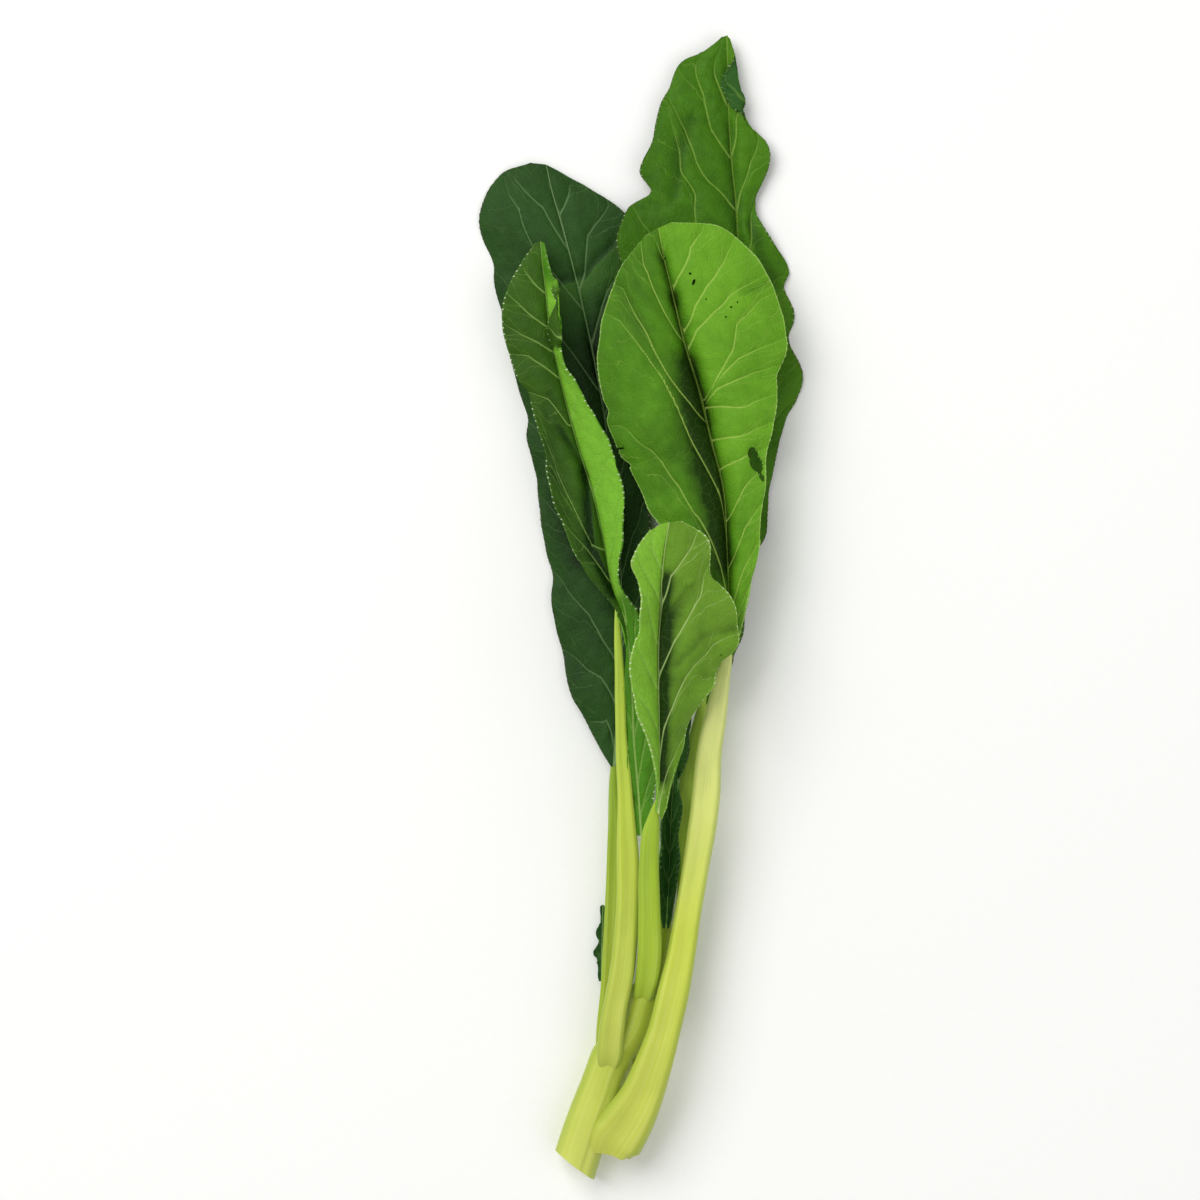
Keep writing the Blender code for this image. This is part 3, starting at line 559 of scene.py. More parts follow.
def chord_knots(points):
    """0 to 1 along the points, by the distance between them."""
    steps = np.linalg.norm(np.diff(np.asarray(points, float), axis=0), axis=-1)
    steps = steps.reshape(len(steps), -1).mean(axis=1)
    along = np.concatenate([[0.0], np.cumsum(steps)])
    return along / along[-1]


def mottle(x, y, cell, seed):
    """Smooth random heights from -1 to 1 over a plane, about one rise or dip to each cell."""
    size = 61
    heights = np.random.default_rng(seed).uniform(-1.0, 1.0, (size, size))
    u, v = np.asarray(x, float) / cell, np.asarray(y, float) / cell
    i, j = np.floor(u).astype(int), np.floor(v).astype(int)
    a, b = smooth_step(0, 1, u - i), smooth_step(0, 1, v - j)

    def corner(k, m):
        return heights[(i + k) % size, (j + m) % size]

    near = corner(0, 0) * (1 - a) + corner(1, 0) * a
    far = corner(0, 1) * (1 - a) + corner(1, 1) * a
    return near * (1 - b) + far * b


def line_offset(x, y, line):
    """How far each point is from a line of points in plan, negative to the line's left."""
    best = np.full(x.shape, 1e6)
    for (ax, ay), (bx, by) in zip(line, line[1:]):
        dx, dy = bx - ax, by - ay
        share = np.clip(((x - ax) * dx + (y - ay) * dy) / (dx * dx + dy * dy), 0.0, 1.0)
        gx, gy = x - ax - share * dx, y - ay - share * dy
        reach = np.hypot(gx, gy)
        side = np.where(dx * gy - dy * gx > 0, -1.0, 1.0)
        best = np.where(reach < np.abs(best), side * reach, best)
    return best


def mesh_piece(name, points, faces, materials, notes, second=()):
    """A piece of the plant, which stands for the node of its name. notes are what the materials read at
    each point, and second are the faces that take the second material."""
    mesh = bpy.data.meshes.new(name)
    mesh.from_pydata(place(points).tolist(), [], faces)
    for key, values in notes.items():
        layer = mesh.attributes.new(key, "FLOAT_VECTOR", "POINT")
        layer.data.foreach_set("vector", np.asarray(values, np.float32).ravel())
    for material in materials:
        mesh.materials.append(material)
    for face in second:
        mesh.polygons[face].material_index = 1
    mesh.shade_smooth()
    mesh.set_sharp_from_angle(angle=SHARP_EDGE)
    piece = bpy.data.objects.new(name, mesh)
    bpy.context.scene.collection.objects.link(piece)
    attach(piece, "root")
    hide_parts(name)


def sheet_faces(keep):
    """Faces of two like grids, one over the other, joined all round. keep says which cells are there."""
    rows, wide = keep.shape[0] + 1, keep.shape[1] + 1
    count = rows * wide
    index = np.arange(count).reshape(rows, wide)
    cells = np.stack([index[:-1, :-1], index[:-1, 1:], index[1:, 1:], index[1:, :-1]], axis=-1)[keep]
    a, b = cells.ravel(), np.roll(cells, -1, axis=1).ravel()
    alone = ~np.isin(a * count + b, b * count + a)
    a, b = a[alone], b[alone]
    edge = np.stack([a, a + count, b + count, b], axis=-1)
    return np.concatenate([cells, cells[:, ::-1] + count, edge])


def leaf_surface(leaf, along, signed, curl):
    """Smooth upper face of a leaf at shares along it and across each half, the distance from midrib to
    margin, and the direction outwards. Where curl widens a half, its margin is rolled back over it."""
    stations = np.array(leaf["stations"])
    rails = curve_through(chord_knots(stations), stations.reshape(len(stations), 9), along)
    left, midrib, right = rails[:, None, 0:3], rails[:, None, 3:6], rails[:, None, 6:9]
    body = (np.sin(math.pi * np.clip(along, 0.02, 0.98)) ** 0.6)[:, None]
    height, waves = leaf["wave"]
    on_left = signed < 0
    outward = np.where(on_left[:, None], left - midrib, right - midrib)
    spread = np.maximum(np.linalg.norm(outward, axis=2), 0.01)
    unit = outward / spread[:, :, None]
    reach = np.abs(signed) * (spread + curl)
    back = np.maximum(reach - spread, 0.0)
    q = (np.minimum(reach, spread) - back) / spread
    points = midrib + unit * (q * spread)[:, :, None]
    q = np.maximum(q, 0.0)
    lift = np.where(on_left, leaf["lift"][0], leaf["lift"][1])
    ripple = np.sin(2 * math.pi * waves * along[:, None] + np.where(on_left, RUFFLE_SHIFT, 0.0))
    open_wide = np.minimum(spread / FULL_LIFT_WIDTH, 1.0)
    points[:, :, 2] += open_wide * lift * body * np.sin(math.pi * q**0.6) + height * body * ripple * q**3
    points[:, :, 2] += CURL_GAP * (1.0 - np.exp(-back / 0.5)) + CURL_RISE * back
    points[:, :, :2] += unit[:, :, :2] * (RUFFLE_SIDEWAYS * body * ripple * q**4)[:, :, None]
    return points, spread + curl, np.where(back > 0, -1.0, 1.0)[:, :, None] * unit


def unit_normals(points):
    normals = np.cross(np.gradient(points, axis=1), np.gradient(points, axis=0))
    return normals / np.maximum(np.linalg.norm(normals, axis=2, keepdims=True), 1e-9)


def vein_line(vein):
    """A side vein as a line of points, also where only its shares of the length are given."""
    if isinstance(vein, list):
        return vein
    return list(zip(vein, np.linspace(0.0, 1.0, len(vein))))


def vein_count(laterals, along, q):
    """A number that is whole on each side vein and rises by one from each vein to the next."""
    lines = [vein_line(vein) for vein in laterals]
    at = np.array([np.interp(q, [p[1] for p in line], [p[0] for p in line]) for line in lines])
    beyond = 30.0  # how much further the count runs on past the first and the last vein
    ranks = np.arange(len(laterals), dtype=float)
    ranks = np.concatenate([[-beyond], ranks, [ranks[-1] + beyond]])
    count = np.empty((len(along), len(q)))
    for j in range(len(q)):
        spots = at[:, j]
        before, after = spots[1] - spots[0], spots[-1] - spots[-2]
        knots = np.concatenate([[spots[0] - beyond * before], spots, [spots[-1] + beyond * after]])
        count[:, j] = np.interp(along, knots, ranks)
    return count


def cut_holes(points, holes):
    """Which cells of a leaf's grid stay, with the points round each hole moved onto its rim."""
    keep = np.ones((points.shape[0] - 1, points.shape[1] - 1), bool)
    for x, y, long, short, turn in holes:
        turn = math.radians(turn)
        dx, dy = points[:, :, 0] - x, points[:, :, 1] - y
        u = (dx * math.cos(turn) + dy * math.sin(turn)) / long
        v = (dy * math.cos(turn) - dx * math.sin(turn)) / short
        middle_u = (u[:-1, :-1] + u[:-1, 1:] + u[1:, 1:] + u[1:, :-1]) / 4
        middle_v = (v[:-1, :-1] + v[:-1, 1:] + v[1:, 1:] + v[1:, :-1]) / 4
        far = np.hypot(middle_u, middle_v)
        inside = far < max(1.0, far.min() + 1e-9)
        touched = np.zeros(points.shape[:2], bool)
        for i in (0, 1):
            for j in (0, 1):
                touched[i : i + inside.shape[0], j : j + inside.shape[1]] |= inside
        pull = 1.0 / np.maximum(np.hypot(u, v), 0.05)
        pull = np.where(touched, np.clip(pull, 0.4, 2.5), 1.0)
        points[:, :, 0] = x + dx * pull
        points[:, :, 1] = y + dy * pull
        keep &= ~inside
    return keep


def leaf_grid(name, leaf, look, seed, fineness):
    """A blade's smooth upper face as a grid of points, in rows from the stalk to the tip and in columns
    from the left margin to the right, with what the later steps read at each point."""
    g = SimpleNamespace(key=name.removeprefix("blade_"), leaf=leaf, look=look, seed=seed)
    stations = np.array(leaf["stations"])
    length = np.linalg.norm(np.diff(stations[:, 1], axis=0), axis=1).sum()
    widest = np.linalg.norm(stations[:, (0, 2)] - stations[:, 1:2], axis=2).max()
    rows, g.half = int(length / fineness) + 1, int(widest / fineness) + 1
    along, g.signed = np.linspace(0.0, 1.0, rows), np.linspace(-1.0, 1.0, 2 * g.half + 1)
    g.along, g.q = along[:, None], np.abs(g.signed)
    g.on_side = {"left": g.signed < 0, "right": g.signed > 0}
    g.curl = np.zeros((rows, 2 * g.half + 1))
    if g.key in CURLS:
        side, strip = CURLS[g.key]
        strip = np.interp(along, [p[0] for p in strip], [p[1] for p in strip])[:, None]
        g.curl = strip * g.on_side[side]
    g.points, g.spread, g.outward = leaf_surface(leaf, along, g.signed, g.curl)
    g.run = np.linalg.norm(np.gradient(g.points, axis=0), axis=2)
    g.over = np.linalg.norm(np.gradient(g.points, axis=1), axis=2)
    g.down = np.cumsum(g.run[:, g.half])[:, None] * np.ones_like(g.q)
    g.across = g.signed * g.spread
    g.ends = smooth_step(0.0, 0.06, g.along) * smooth_step(0.0, 0.05, 1.0 - g.along)
    return g


def leaf_veins(g, laterals):
    """A number that is whole on each side vein of either half, the veins' spacing, and the share of the way
    from one to the next."""
    half, seed = g.half, g.seed
    veins = np.empty_like(g.across)
    veins[:, : half + 1] = vein_count(laterals[0], g.along[:, 0], g.q[: half + 1])
    veins[:, half + 1 :] = vein_count(laterals[1], g.along[:, 0], g.q[half + 1 :])
    stray = 0.06 * mottle(g.down, g.across, 9.0, seed) + 0.03 * mottle(g.down, g.across, 3.4, seed + 1)
    veins += smooth_step(0.1, 0.6, g.q) * stray
    rise, turn = np.gradient(veins)
    lean = np.hypot(rise / g.run, turn / np.maximum(g.over, 0.05))
    lean[:, half] = lean[:, half + 1]
    return veins, 1.0 / np.maximum(lean, 0.02), veins - np.floor(veins)


def leaf_relief(g, spacing, between):
    """Puffs between the side veins, crinkles, a groove along each vein, and the midrib's soft ridge."""
    puff = g.look["puff"] * (np.sin(math.pi * between) ** 0.7 - 0.5)
    puff = puff * np.minimum(spacing / FULL_PUFF_SPACING, 1.0)
    crinkle = sum(
        height * mottle(g.down, g.across, cell, g.seed + 2 + i) for i, (height, cell) in enumerate(CRINKLES)
    )
    nearest = np.minimum(between, 1.0 - between) * spacing
    groove = VEIN_GROOVE * np.exp(-((nearest / VEIN_GROOVE_REACH) ** 2)) * (1.0 - 0.7 * g.q)
    ridge = MIDRIB_RIDGE * (1.0 - g.along) * np.exp(-((g.across / (0.4 * g.leaf["rib"] + 0.2)) ** 2))
    off_midrib = smooth_step(0.0, 2.5, np.abs(g.across))
    return g.ends * (off_midrib * (puff + g.look["puff"] * crinkle - groove) + ridge)


def leaf_folds(g):
    """How far the folds sink the blade, and how much they change its colour, mostly darker with painted shade,
    as a rolled margin does too.
    """
    sink, shade = np.zeros_like(g.across), np.zeros_like(g.across)
    for line, left_reach, right_reach, depth, change in FOLDS.get(g.key, ()):
        gap = line_offset(g.points[:, :, 0], g.points[:, :, 1], line)
        reach = np.where(gap < 0, left_reach, right_reach)
        weight = np.exp(-((gap / reach) ** 2)) * (g.curl * g.q < 0.01)
        sink += g.ends * depth * weight
        # Painted shade along the fold where the change is below zero; above zero it lightens the leaf
        shade += change * weight
    # Painted shade where a margin is rolled back over the blade
    shade -= CURL_SHADE * ((g.curl > 0.1) & (g.q * g.spread > g.spread - g.curl))
    return sink, shade


def leaf_margin(g):
    """How far teeth, a slow waver and dents move the blade's edge outwards, and a number that is whole at
    the foot of each tooth."""
    rim_length = np.cumsum(np.where(g.signed < 0, g.run[:, :1], g.run[:, -1:]), axis=0)
    teeth = (rim_length + 0.6 * mottle(rim_length, g.signed * 40, 5.0, g.seed + 4)) / TOOTH
    saw = teeth - np.floor(teeth)
    saw = np.minimum(saw / TOOTH_RISE, (1.0 - saw) / TOOTH_FALL)
    near_rim = np.clip(1.0 - (1.0 - g.q) * g.spread / TOOTH_ROOT, 0.0, 1.0)
    wide_enough = smooth_step(0.8, 3.0, g.spread)
    uneven = 0.5 + 0.5 * mottle(rim_length, g.signed * 40, 7.0, g.seed + 6)
    out = TOOTH_DEPTH * wide_enough * near_rim * saw * uneven
    out += WAVER * wide_enough * g.q**6 * mottle(rim_length, g.signed * 90, 6.0, g.seed + 7)
    out *= g.ends
    for side, dents in zip(("left", "right"), DENTS.get(g.key, ((), ()))):
        for spot, depth, reach in dents:
            out -= g.on_side[side] * depth * np.exp(-(((g.along - spot) / reach) ** 2)) * g.q**3
    return out, teeth


def lower_face(g, upper):
    """The underside, a blade's thickness below, with the midrib standing out under it."""
    near_rib = np.clip(1.0 - (g.across / (0.9 * g.leaf["rib"])) ** 2, 0.0, 1.0)
    rib = np.maximum(g.leaf["rib"] * (1.0 - g.along) ** 0.8 - LEAF_THICKNESS, 0.0)
    lower = upper - unit_normals(upper) * LEAF_THICKNESS
    lower[:, :, 2] -= 0.6 * rib * near_rib * smooth_step(1.5, 5.0, g.spread)
    lower[:, :, 2] = np.maximum(lower[:, :, 2], 0.02)
    return lower


def leaf_tone(g, shade):
    """Where each point lies between the leaf's darkest and brightest green, and how much it shows the
    underside."""
    left_tone, right_tone = g.look["tone"]
    # Each half's tone is partly its own green and partly painted light: the half turned more to the light is
    # lighter
    tone = np.where(g.signed < 0, left_tone, right_tone) + 0.10 * mottle(g.down, g.across, 15.0, g.seed + 5)
    # Painted shade darkens each half towards the midrib, and the folds add their painted shade
    tone = tone * (0.7 + 0.3 * smooth_step(0.0, g.look["valley_shade"], g.q)) + shade
    turned = np.zeros_like(g.across)
    if g.look["turned"]:
        side, start, end = g.look["turned"]
        turned = g.on_side[side] * smooth_step(start - 0.015, start + 0.015, g.along)
        turned = turned * smooth_step(0.02, 0.10, g.q) * (1.0 - smooth_step(end, end + 0.04, g.along))
    return tone, turned


def leaf_piece(name, leaf, laterals, look, material, seed, fineness=FINENESS):
    """A leaf blade: puffed between its side veins, folded, toothed along the margin, and thin."""
    g = leaf_grid(name, leaf, look, seed, fineness)
    veins, spacing, between = leaf_veins(g, laterals)
    sink, shade = leaf_folds(g)
    out, teeth = leaf_margin(g)
    relief = leaf_relief(g, spacing, between)
    upper = g.points + g.outward * out[:, :, None] + unit_normals(g.points) * relief[:, :, None]
    upper[:, :, 2] = np.maximum(upper[:, :, 2] - sink, LEAF_THICKNESS + 0.05)
    keep = cut_holes(upper, HOLES.get(g.key, ()))
    lower = lower_face(g, upper)

    # What the leaf's skin reads, for the upper and the lower face
    tone, turned = leaf_tone(g, shade)
    rib_share = np.abs(g.across) / (0.13 * leaf["rib"] * (1.0 - g.along) ** 0.8 + 0.16)
    ones = np.ones_like(g.across)

    def noted(first, second, third):
        return np.stack([first * ones, second * ones, third * ones], axis=-1).reshape(-1, 3)

    notes = {
        "spot": (noted(g.down, g.across, turned), noted(g.down, g.across, 1.0 - turned)),
        "vein": (noted(veins, np.minimum(spacing, 40.0), g.q),) * 2,
        "edge": (noted(teeth, (1.0 - g.q) * g.spread, rib_share),) * 2,
        "tone": (noted(tone, g.along, np.minimum(g.spread, 20.0)),) * 2,
    }
    used, faces = np.unique(sheet_faces(keep), return_inverse=True)
    points = np.concatenate([upper.reshape(-1, 3), lower.reshape(-1, 3)])[used]
    notes = {key: np.concatenate(values)[used] for key, values in notes.items()}
    mesh_piece(name, points, faces.reshape(-1, 4).tolist(), [material], notes)


def frames_along(centres):
    """Unit directions forwards, sideways (level) and upwards for each centre."""
    forward = np.gradient(centres, axis=0)
    forward /= np.linalg.norm(forward, axis=1, keepdims=True)
    side = np.cross(forward, (0.0, 0.0, 1.0))
    side /= np.linalg.norm(side, axis=1, keepdims=True)
    return forward, side, np.cross(side, forward)


def tube_faces(rings, sides):
    """Faces of a tube of rings whose first and last rings are closed by a point each."""
    index = np.arange(rings * sides).reshape(rings, sides)
    after = np.roll(index, -1, axis=1)
    walls = np.stack([index[:-1], after[:-1], after[1:], index[1:]], axis=-1).reshape(-1, 4)
    first, last = rings * sides, rings * sides + 1
    faces = walls.tolist()
    for side in range(sides):
        faces.append((first, int(after[0, side]), int(index[0, side])))
        faces.append((last, int(index[-1, side]), int(after[-1, side])))
    return faces


def tube_notes(rings, share_along):
    """What the materials read on a tube: how far along and where round it, in millimetres and in shares."""
    centres = rings.mean(axis=1)
    down = np.concatenate([[0.0], np.cumsum(np.linalg.norm(np.diff(centres, axis=0), axis=1))])
    count, sides = rings.shape[:2]
    around = np.arange(sides) / sides
    spot = np.zeros((count, sides, 3))
    spot[:, :, 0] = down[:, None]
    spot[:, :, 1] = np.cos(2 * math.pi * around) * 0.5
    spot[:, :, 2] = np.sin(2 * math.pi * around) * 0.5
    share = np.zeros((count, sides, 3))
    share[:, :, 0] = share_along[:, None]
    share[:, :, 1] = spot[:, :, 1]
    ends = [0, -1]
    spot = np.concatenate([spot.reshape(-1, 3), spot[ends].mean(axis=1)])
    share = np.concatenate([share.reshape(-1, 3), share[ends].mean(axis=1)])
    return {"spot": spot, "share": share}


def tube_piece(name, rings, share_along, materials, second=()):
    """A piece made of rings and closed by a point at each end."""
    points = np.concatenate([rings.reshape(-1, 3), [rings[0].mean(axis=0), rings[-1].mean(axis=0)]])
    faces = tube_faces(*rings.shape[:2])
    mesh_piece(name, points, faces, materials, tube_notes(rings, share_along), second)


def midrib_route(leaf, width, end):
    """The stalk carried on along the blade's midrib, where it thins out over the share end of the length."""
    stations = np.array(leaf["stations"])
    at = np.linspace(0.05, end, 9)
    route = np.column_stack([curve_through(chord_knots(stations), stations[:, 1], at), np.zeros(len(at))])
    route[:, 3] = 0.45 + (width - 0.45) * (1.0 - at / end) ** 1.1
    route[:, 2] += 0.45 - 0.36 * route[:, 3]
    return route


def stalk_piece(letter, material, seed):
    """A fleshy leaf stalk, channelled above and faintly ribbed, which runs on into its blade's midrib."""
    route = np.array(STALKS[letter])
    if letter in STALK_RUNS:
        run = midrib_route(BLADES[letter], *STALK_RUNS[letter])
    else:
        run = np.array([STALK_TIPS[letter]])
    knee = len(route) - 1
    route = np.concatenate([route, run])
    spots = route[:, :3]
    length = np.linalg.norm(np.diff(spots, axis=0), axis=1).sum()
    count = int(length / STALK_STEP) + 1
    knots = chord_knots(spots)
    line = curve_through(knots, route, np.linspace(0.0, 1.0, count))
    centres, widths = line[:, :3], np.maximum(line[:, 3], 0.3)
    forward, side, up = frames_along(centres)
    share = np.interp(np.linspace(0.0, 1.0, count), [0.0, knots[knee], 1.0], [0.0, 0.75, 1.0])
    angles = np.arange(STALK_ROUND) * 2 * math.pi / STALK_ROUND
    channel = GROOVE * (1.0 - smooth_step(0.5, 0.8, share))[:, None]
    height = STALK_DEPTH * np.sin(angles) / 2 - channel * np.maximum(np.sin(angles), 0.0) ** 6
    down = np.linspace(0.0, length, count)[:, None]
    rib_height, rib_count = STALK_RIBS
    ribs = rib_height * np.cos(rib_count * angles + 0.8 * np.sin(down / 37.0))
    ribs = ribs + 0.05 * mottle(angles * 3.2, down / 30, 1.0, seed)
    swell = 0.10 * mottle(down, down * 0 + 3.0, 11.0, seed + 1)
    grow = 1.0 + (ribs + swell) / np.maximum(widths[:, None], 2.0) * 2
    rings = (
        centres[:, None]
        + (widths[:, None] * grow * np.cos(angles) / 2)[:, :, None] * side[:, None]
        + (widths[:, None] * grow * height)[:, :, None] * up[:, None]
    )
    if letter == "c":  # its foot, torn a little where it clasps the stem
        torn = 0.5 * mottle(angles * 2.2, angles * 0 + 2.0, 1.0, 31)
        torn = torn + 0.8 * np.exp(-(((angles - 0.6) / 0.12) ** 2))
        torn += 1.5 * np.cos(angles)
        rings += (torn * np.clip(1.0 - down / 5.0, 0.0, 1.0))[:, :, None] * forward[0]
    rings[:, :, 2] = np.maximum(rings[:, :, 2], 0.05)
    tube_piece("stalk_" + letter, rings, share, [material])


def stem_piece(skin, pith):
    """The stem: smooth skin, a swollen joint where each stalk leaves, and a slanting cut with bare pith."""
    count, sides = STEM_RINGS, STEM_ROUND
    route = curve_through(chord_knots([s[:3] for s in STEM]), STEM, np.linspace(0.0, 1.0, count))
    centres, diameters = route[:, :3], route[:, 3]
    forward, side, up = frames_along(centres)
    swell = sum(JOINT_SWELL * np.exp(-(((centres[:, 1] - y) / JOINT_REACH) ** 2)) for y in STEM_JOINTS)
    depth, above, reach = JOINT_CREASE
    crease = sum(depth * np.exp(-(((centres[:, 1] - y - above) / reach) ** 2)) for y in STEM_JOINTS)
    angles = np.arange(sides) * 2 * math.pi / sides
    down = np.linspace(0.0, STEM_LENGTH, count)[:, None]
    rib_height, rib_count = STEM_RIBS
    ribs = rib_height * np.cos(rib_count * angles + 0.6 * np.sin(down / 30.0))
    ribs = ribs + 0.09 * mottle(angles * 3.2, down / 26, 1.0, 71)
    depth, where, reach = STEM_FURROW
    ribs -= depth * np.exp(-(((angles - where) / reach) ** 2)) * np.clip(1.4 - down / 30.0, 0.0, 1.0)
    radius = diameters[:, None] / 2 + (swell - crease)[:, None]
    radius = radius + ribs * np.minimum(diameters[:, None] / 8, 1)
    across = np.cos(angles)[None, :, None] * side[:, None] + np.sin(angles)[None, :, None] * up[:, None]
    rings = centres[:, None] + radius[:, :, None] * across
    slant = math.tan(CUT_SLANT) * radius[0] * (0.72 * np.cos(angles) + 0.17)
    fade = np.clip(1.0 - down / 9.0, 0.0, 1.0)
    rings -= (fade * slant)[:, :, None] * forward[0]
    middle = rings[0].mean(axis=0)
    inner = []
    for share, bulge in CUT_PROFILE:
        rough = CUT_ROUGHNESS * mottle(angles * 2, share * 20 + 0 * angles, 0.7, 72)[:, None]
        inner.append(middle + (rings[0] - middle) * share - forward[0] * (bulge + rough))
    low = (rings[:, :, 2] < FLAT_UNDER) & (rings[:, :, 1] < FLAT_TO)
    rings[:, :, 2] = np.where(low, 0.0, np.maximum(rings[:, :, 2], 0.0))
    rings = np.concatenate([np.array(inner), rings])
    walls = (len(rings) - 1) * sides
    cut = [*range(len(inner) * sides), *range(walls, walls + 2 * sides, 2)]
    tube_piece("stem", rings, np.linspace(0.0, 1.0, len(rings)), [skin, pith], cut)


def linear(colour):
    """An sRGB hex colour such as 6BA530 as linear light, fully opaque."""
    parts = [int(colour[i : i + 2], 16) / 255 for i in (0, 2, 4)]
    return (*[p / 12.92 if p <= 0.04045 else ((p + 0.055) / 1.055) ** 2.4 for p in parts], 1.0)


def feed(node, inputs):
    """Gives each input of a node a fixed value, or the socket that feeds it."""
    for key, value in inputs.items():
        if isinstance(value, bpy.types.NodeSocket):
            node.id_data.links.new(value, node.inputs[key])
        else:
            node.inputs[key].default_value = value


def add_node(tree, kind, inputs, out=0, **settings):
    """Adds a node with its settings and links, and returns one of its outputs. The inputs of a Map Range
    are the value at 0, the range it comes in at 1 and 2, and the range it leaves in at 3 and 4, from 0 to 1
    if not given."""
    made = tree.nodes.new("ShaderNode" + kind)
    for key, value in settings.items():
        setattr(made, key, value)
    feed(made, inputs)
    return made.outputs[out]


def new_material(name):
    """A material, the function that adds a node to it, and its shader."""
    material = bpy.data.materials.new(name)
    material.use_nodes = True
    tree = material.node_tree
    return material, partial(add_node, tree), tree.nodes["Principled BSDF"]


def side_vein_mask(add, veins, spacing, q, along, breadth):
    """Side veins, thinner towards the margin. They fade there, where they crowd, by the midrib and the tip."""
    off = add("Math", {0: veins, 1: 0.5}, operation="ADD")
    off = add("Math", {0: off}, operation="FRACT")
    off = add("Math", {0: off, 1: 0.5}, operation="SUBTRACT")
    off = add("Math", {0: off}, operation="ABSOLUTE")
    off = add("Math", {0: off, 1: spacing}, operation="MULTIPLY")
    wide = add("MapRange", {0: q, 3: VEIN_HALF_WIDTHS[0], 4: VEIN_HALF_WIDTHS[1]})
    mask = add("MapRange", {0: off, 1: wide, 2: 0.04, 3: 0.0, 4: 1.0}, interpolation_type="SMOOTHSTEP")
    inner = add("Math", {0: q, 1: breadth}, operation="MULTIPLY")
    for measure, *ranges in (
        (q, 0.5, 0.95, 1.0, 0.35),
        (spacing, 0.6, 1.8, 0.0, 1.0),
        (inner, 0.05, 0.4, 0.0, 1.0),
        (along, 0.93, 0.965, 1.0, 0.0),
    ):
        fade = add("MapRange", {0: measure, **dict(enumerate(ranges, 1))})
        mask = add("Math", {0: mask, 1: fade}, operation="MULTIPLY")
    return mask


def fork_mask(add, veins, spacing, q, place_on):
    """Forks that leave the side veins on the way to the margin, wander a little and fade in places."""
    wander = add("TexNoise", {"Vector": place_on, "Scale": 1 / 2.8, "Detail": 2.0})
    sway = add("MapRange", {0: wander, 3: -0.08, 4: 0.08})
    faint = add("TexNoise", {"Vector": place_on, "Scale": 1 / 7.0, "Detail": 1.0})
    faint = add("MapRange", {0: faint, 1: 0.3, 2: 0.65, 3: 0.35, 4: 1.0})
    part = add("Math", {0: veins}, operation="FRACT")
    forks = None
    for start, base, reach in FORKS:
        target = add("MapRange", {0: q, 1: start, 2: 1.0, 3: base, 4: base + reach},
                     interpolation_type="SMOOTHSTEP")
        gap = add("Math", {0: part, 1: target}, operation="SUBTRACT")
        gap = add("Math", {0: gap, 1: sway}, operation="ADD")
        gap = add("Math", {0: gap}, operation="ABSOLUTE")
        gap = add("Math", {0: gap, 1: spacing}, operation="MULTIPLY")
        line = add("MapRange", {0: gap, 1: 0.2, 2: 0.02}, interpolation_type="SMOOTHSTEP")
        shown = add("MapRange", {0: q, 1: start, 2: start + 0.12})
        fork = add("Math", {0: line, 1: shown}, operation="MULTIPLY")
        forks = fork if forks is None else add("Math", {0: forks, 1: fork}, operation="MAXIMUM")
    return add("Math", {0: forks, 1: faint}, operation="MULTIPLY")


def net_mask(add, place_on):
    """Net of the finest veins."""
    bend = add("TexNoise", {"Vector": place_on, "Scale": 1 / 4.0, "Detail": 2.0}, 1)
    bend = add("VectorMath", {0: bend, 1: (NET_BEND, NET_BEND, 0.0)}, operation="MULTIPLY")
    bent = add("VectorMath", {0: place_on, 1: bend}, operation="ADD")
    net = add("TexVoronoi", {"Vector": bent, "Scale": 1 / NET_MESH},
              voronoi_dimensions="2D", feature="DISTANCE_TO_EDGE")
    return add("MapRange", {0: net, 1: 0.07, 2: 0.01}, interpolation_type="SMOOTHSTEP")


def leaf_green(add, look, tone, turned, place_on):
    """The three greens of the upper side by tone, softly clouded, and the green of the underside."""
    cloud = add("TexNoise", {"Vector": place_on, "Scale": 1 / 5.0, "Detail": 4.0, "Roughness": 0.6})
    cloud = add("MapRange", {0: cloud, 1: 0.25, 2: 0.75, 3: -0.12, 4: 0.12})
    tone = add("Math", {0: tone, 1: cloud}, operation="ADD")
    colour = linear(look["greens"][0])
    for start, green in zip((0.0, 0.5), look["greens"][1:]):
        share = add("MapRange", {0: tone, 1: start, 2: start + 0.5})
        colour = add("Mix", {0: share, 6: colour, 7: linear(green)}, 2, data_type="RGBA")
    under = add("MapRange", {0: cloud, 1: -0.12, 2: 0.12, 3: 0.9, 4: 1.08})
    under = add("VectorMath", {0: linear(look["under"])[:3], "Scale": under}, operation="SCALE")
    return add("Mix", {0: turned, 6: colour, 7: under}, 2, data_type="RGBA")


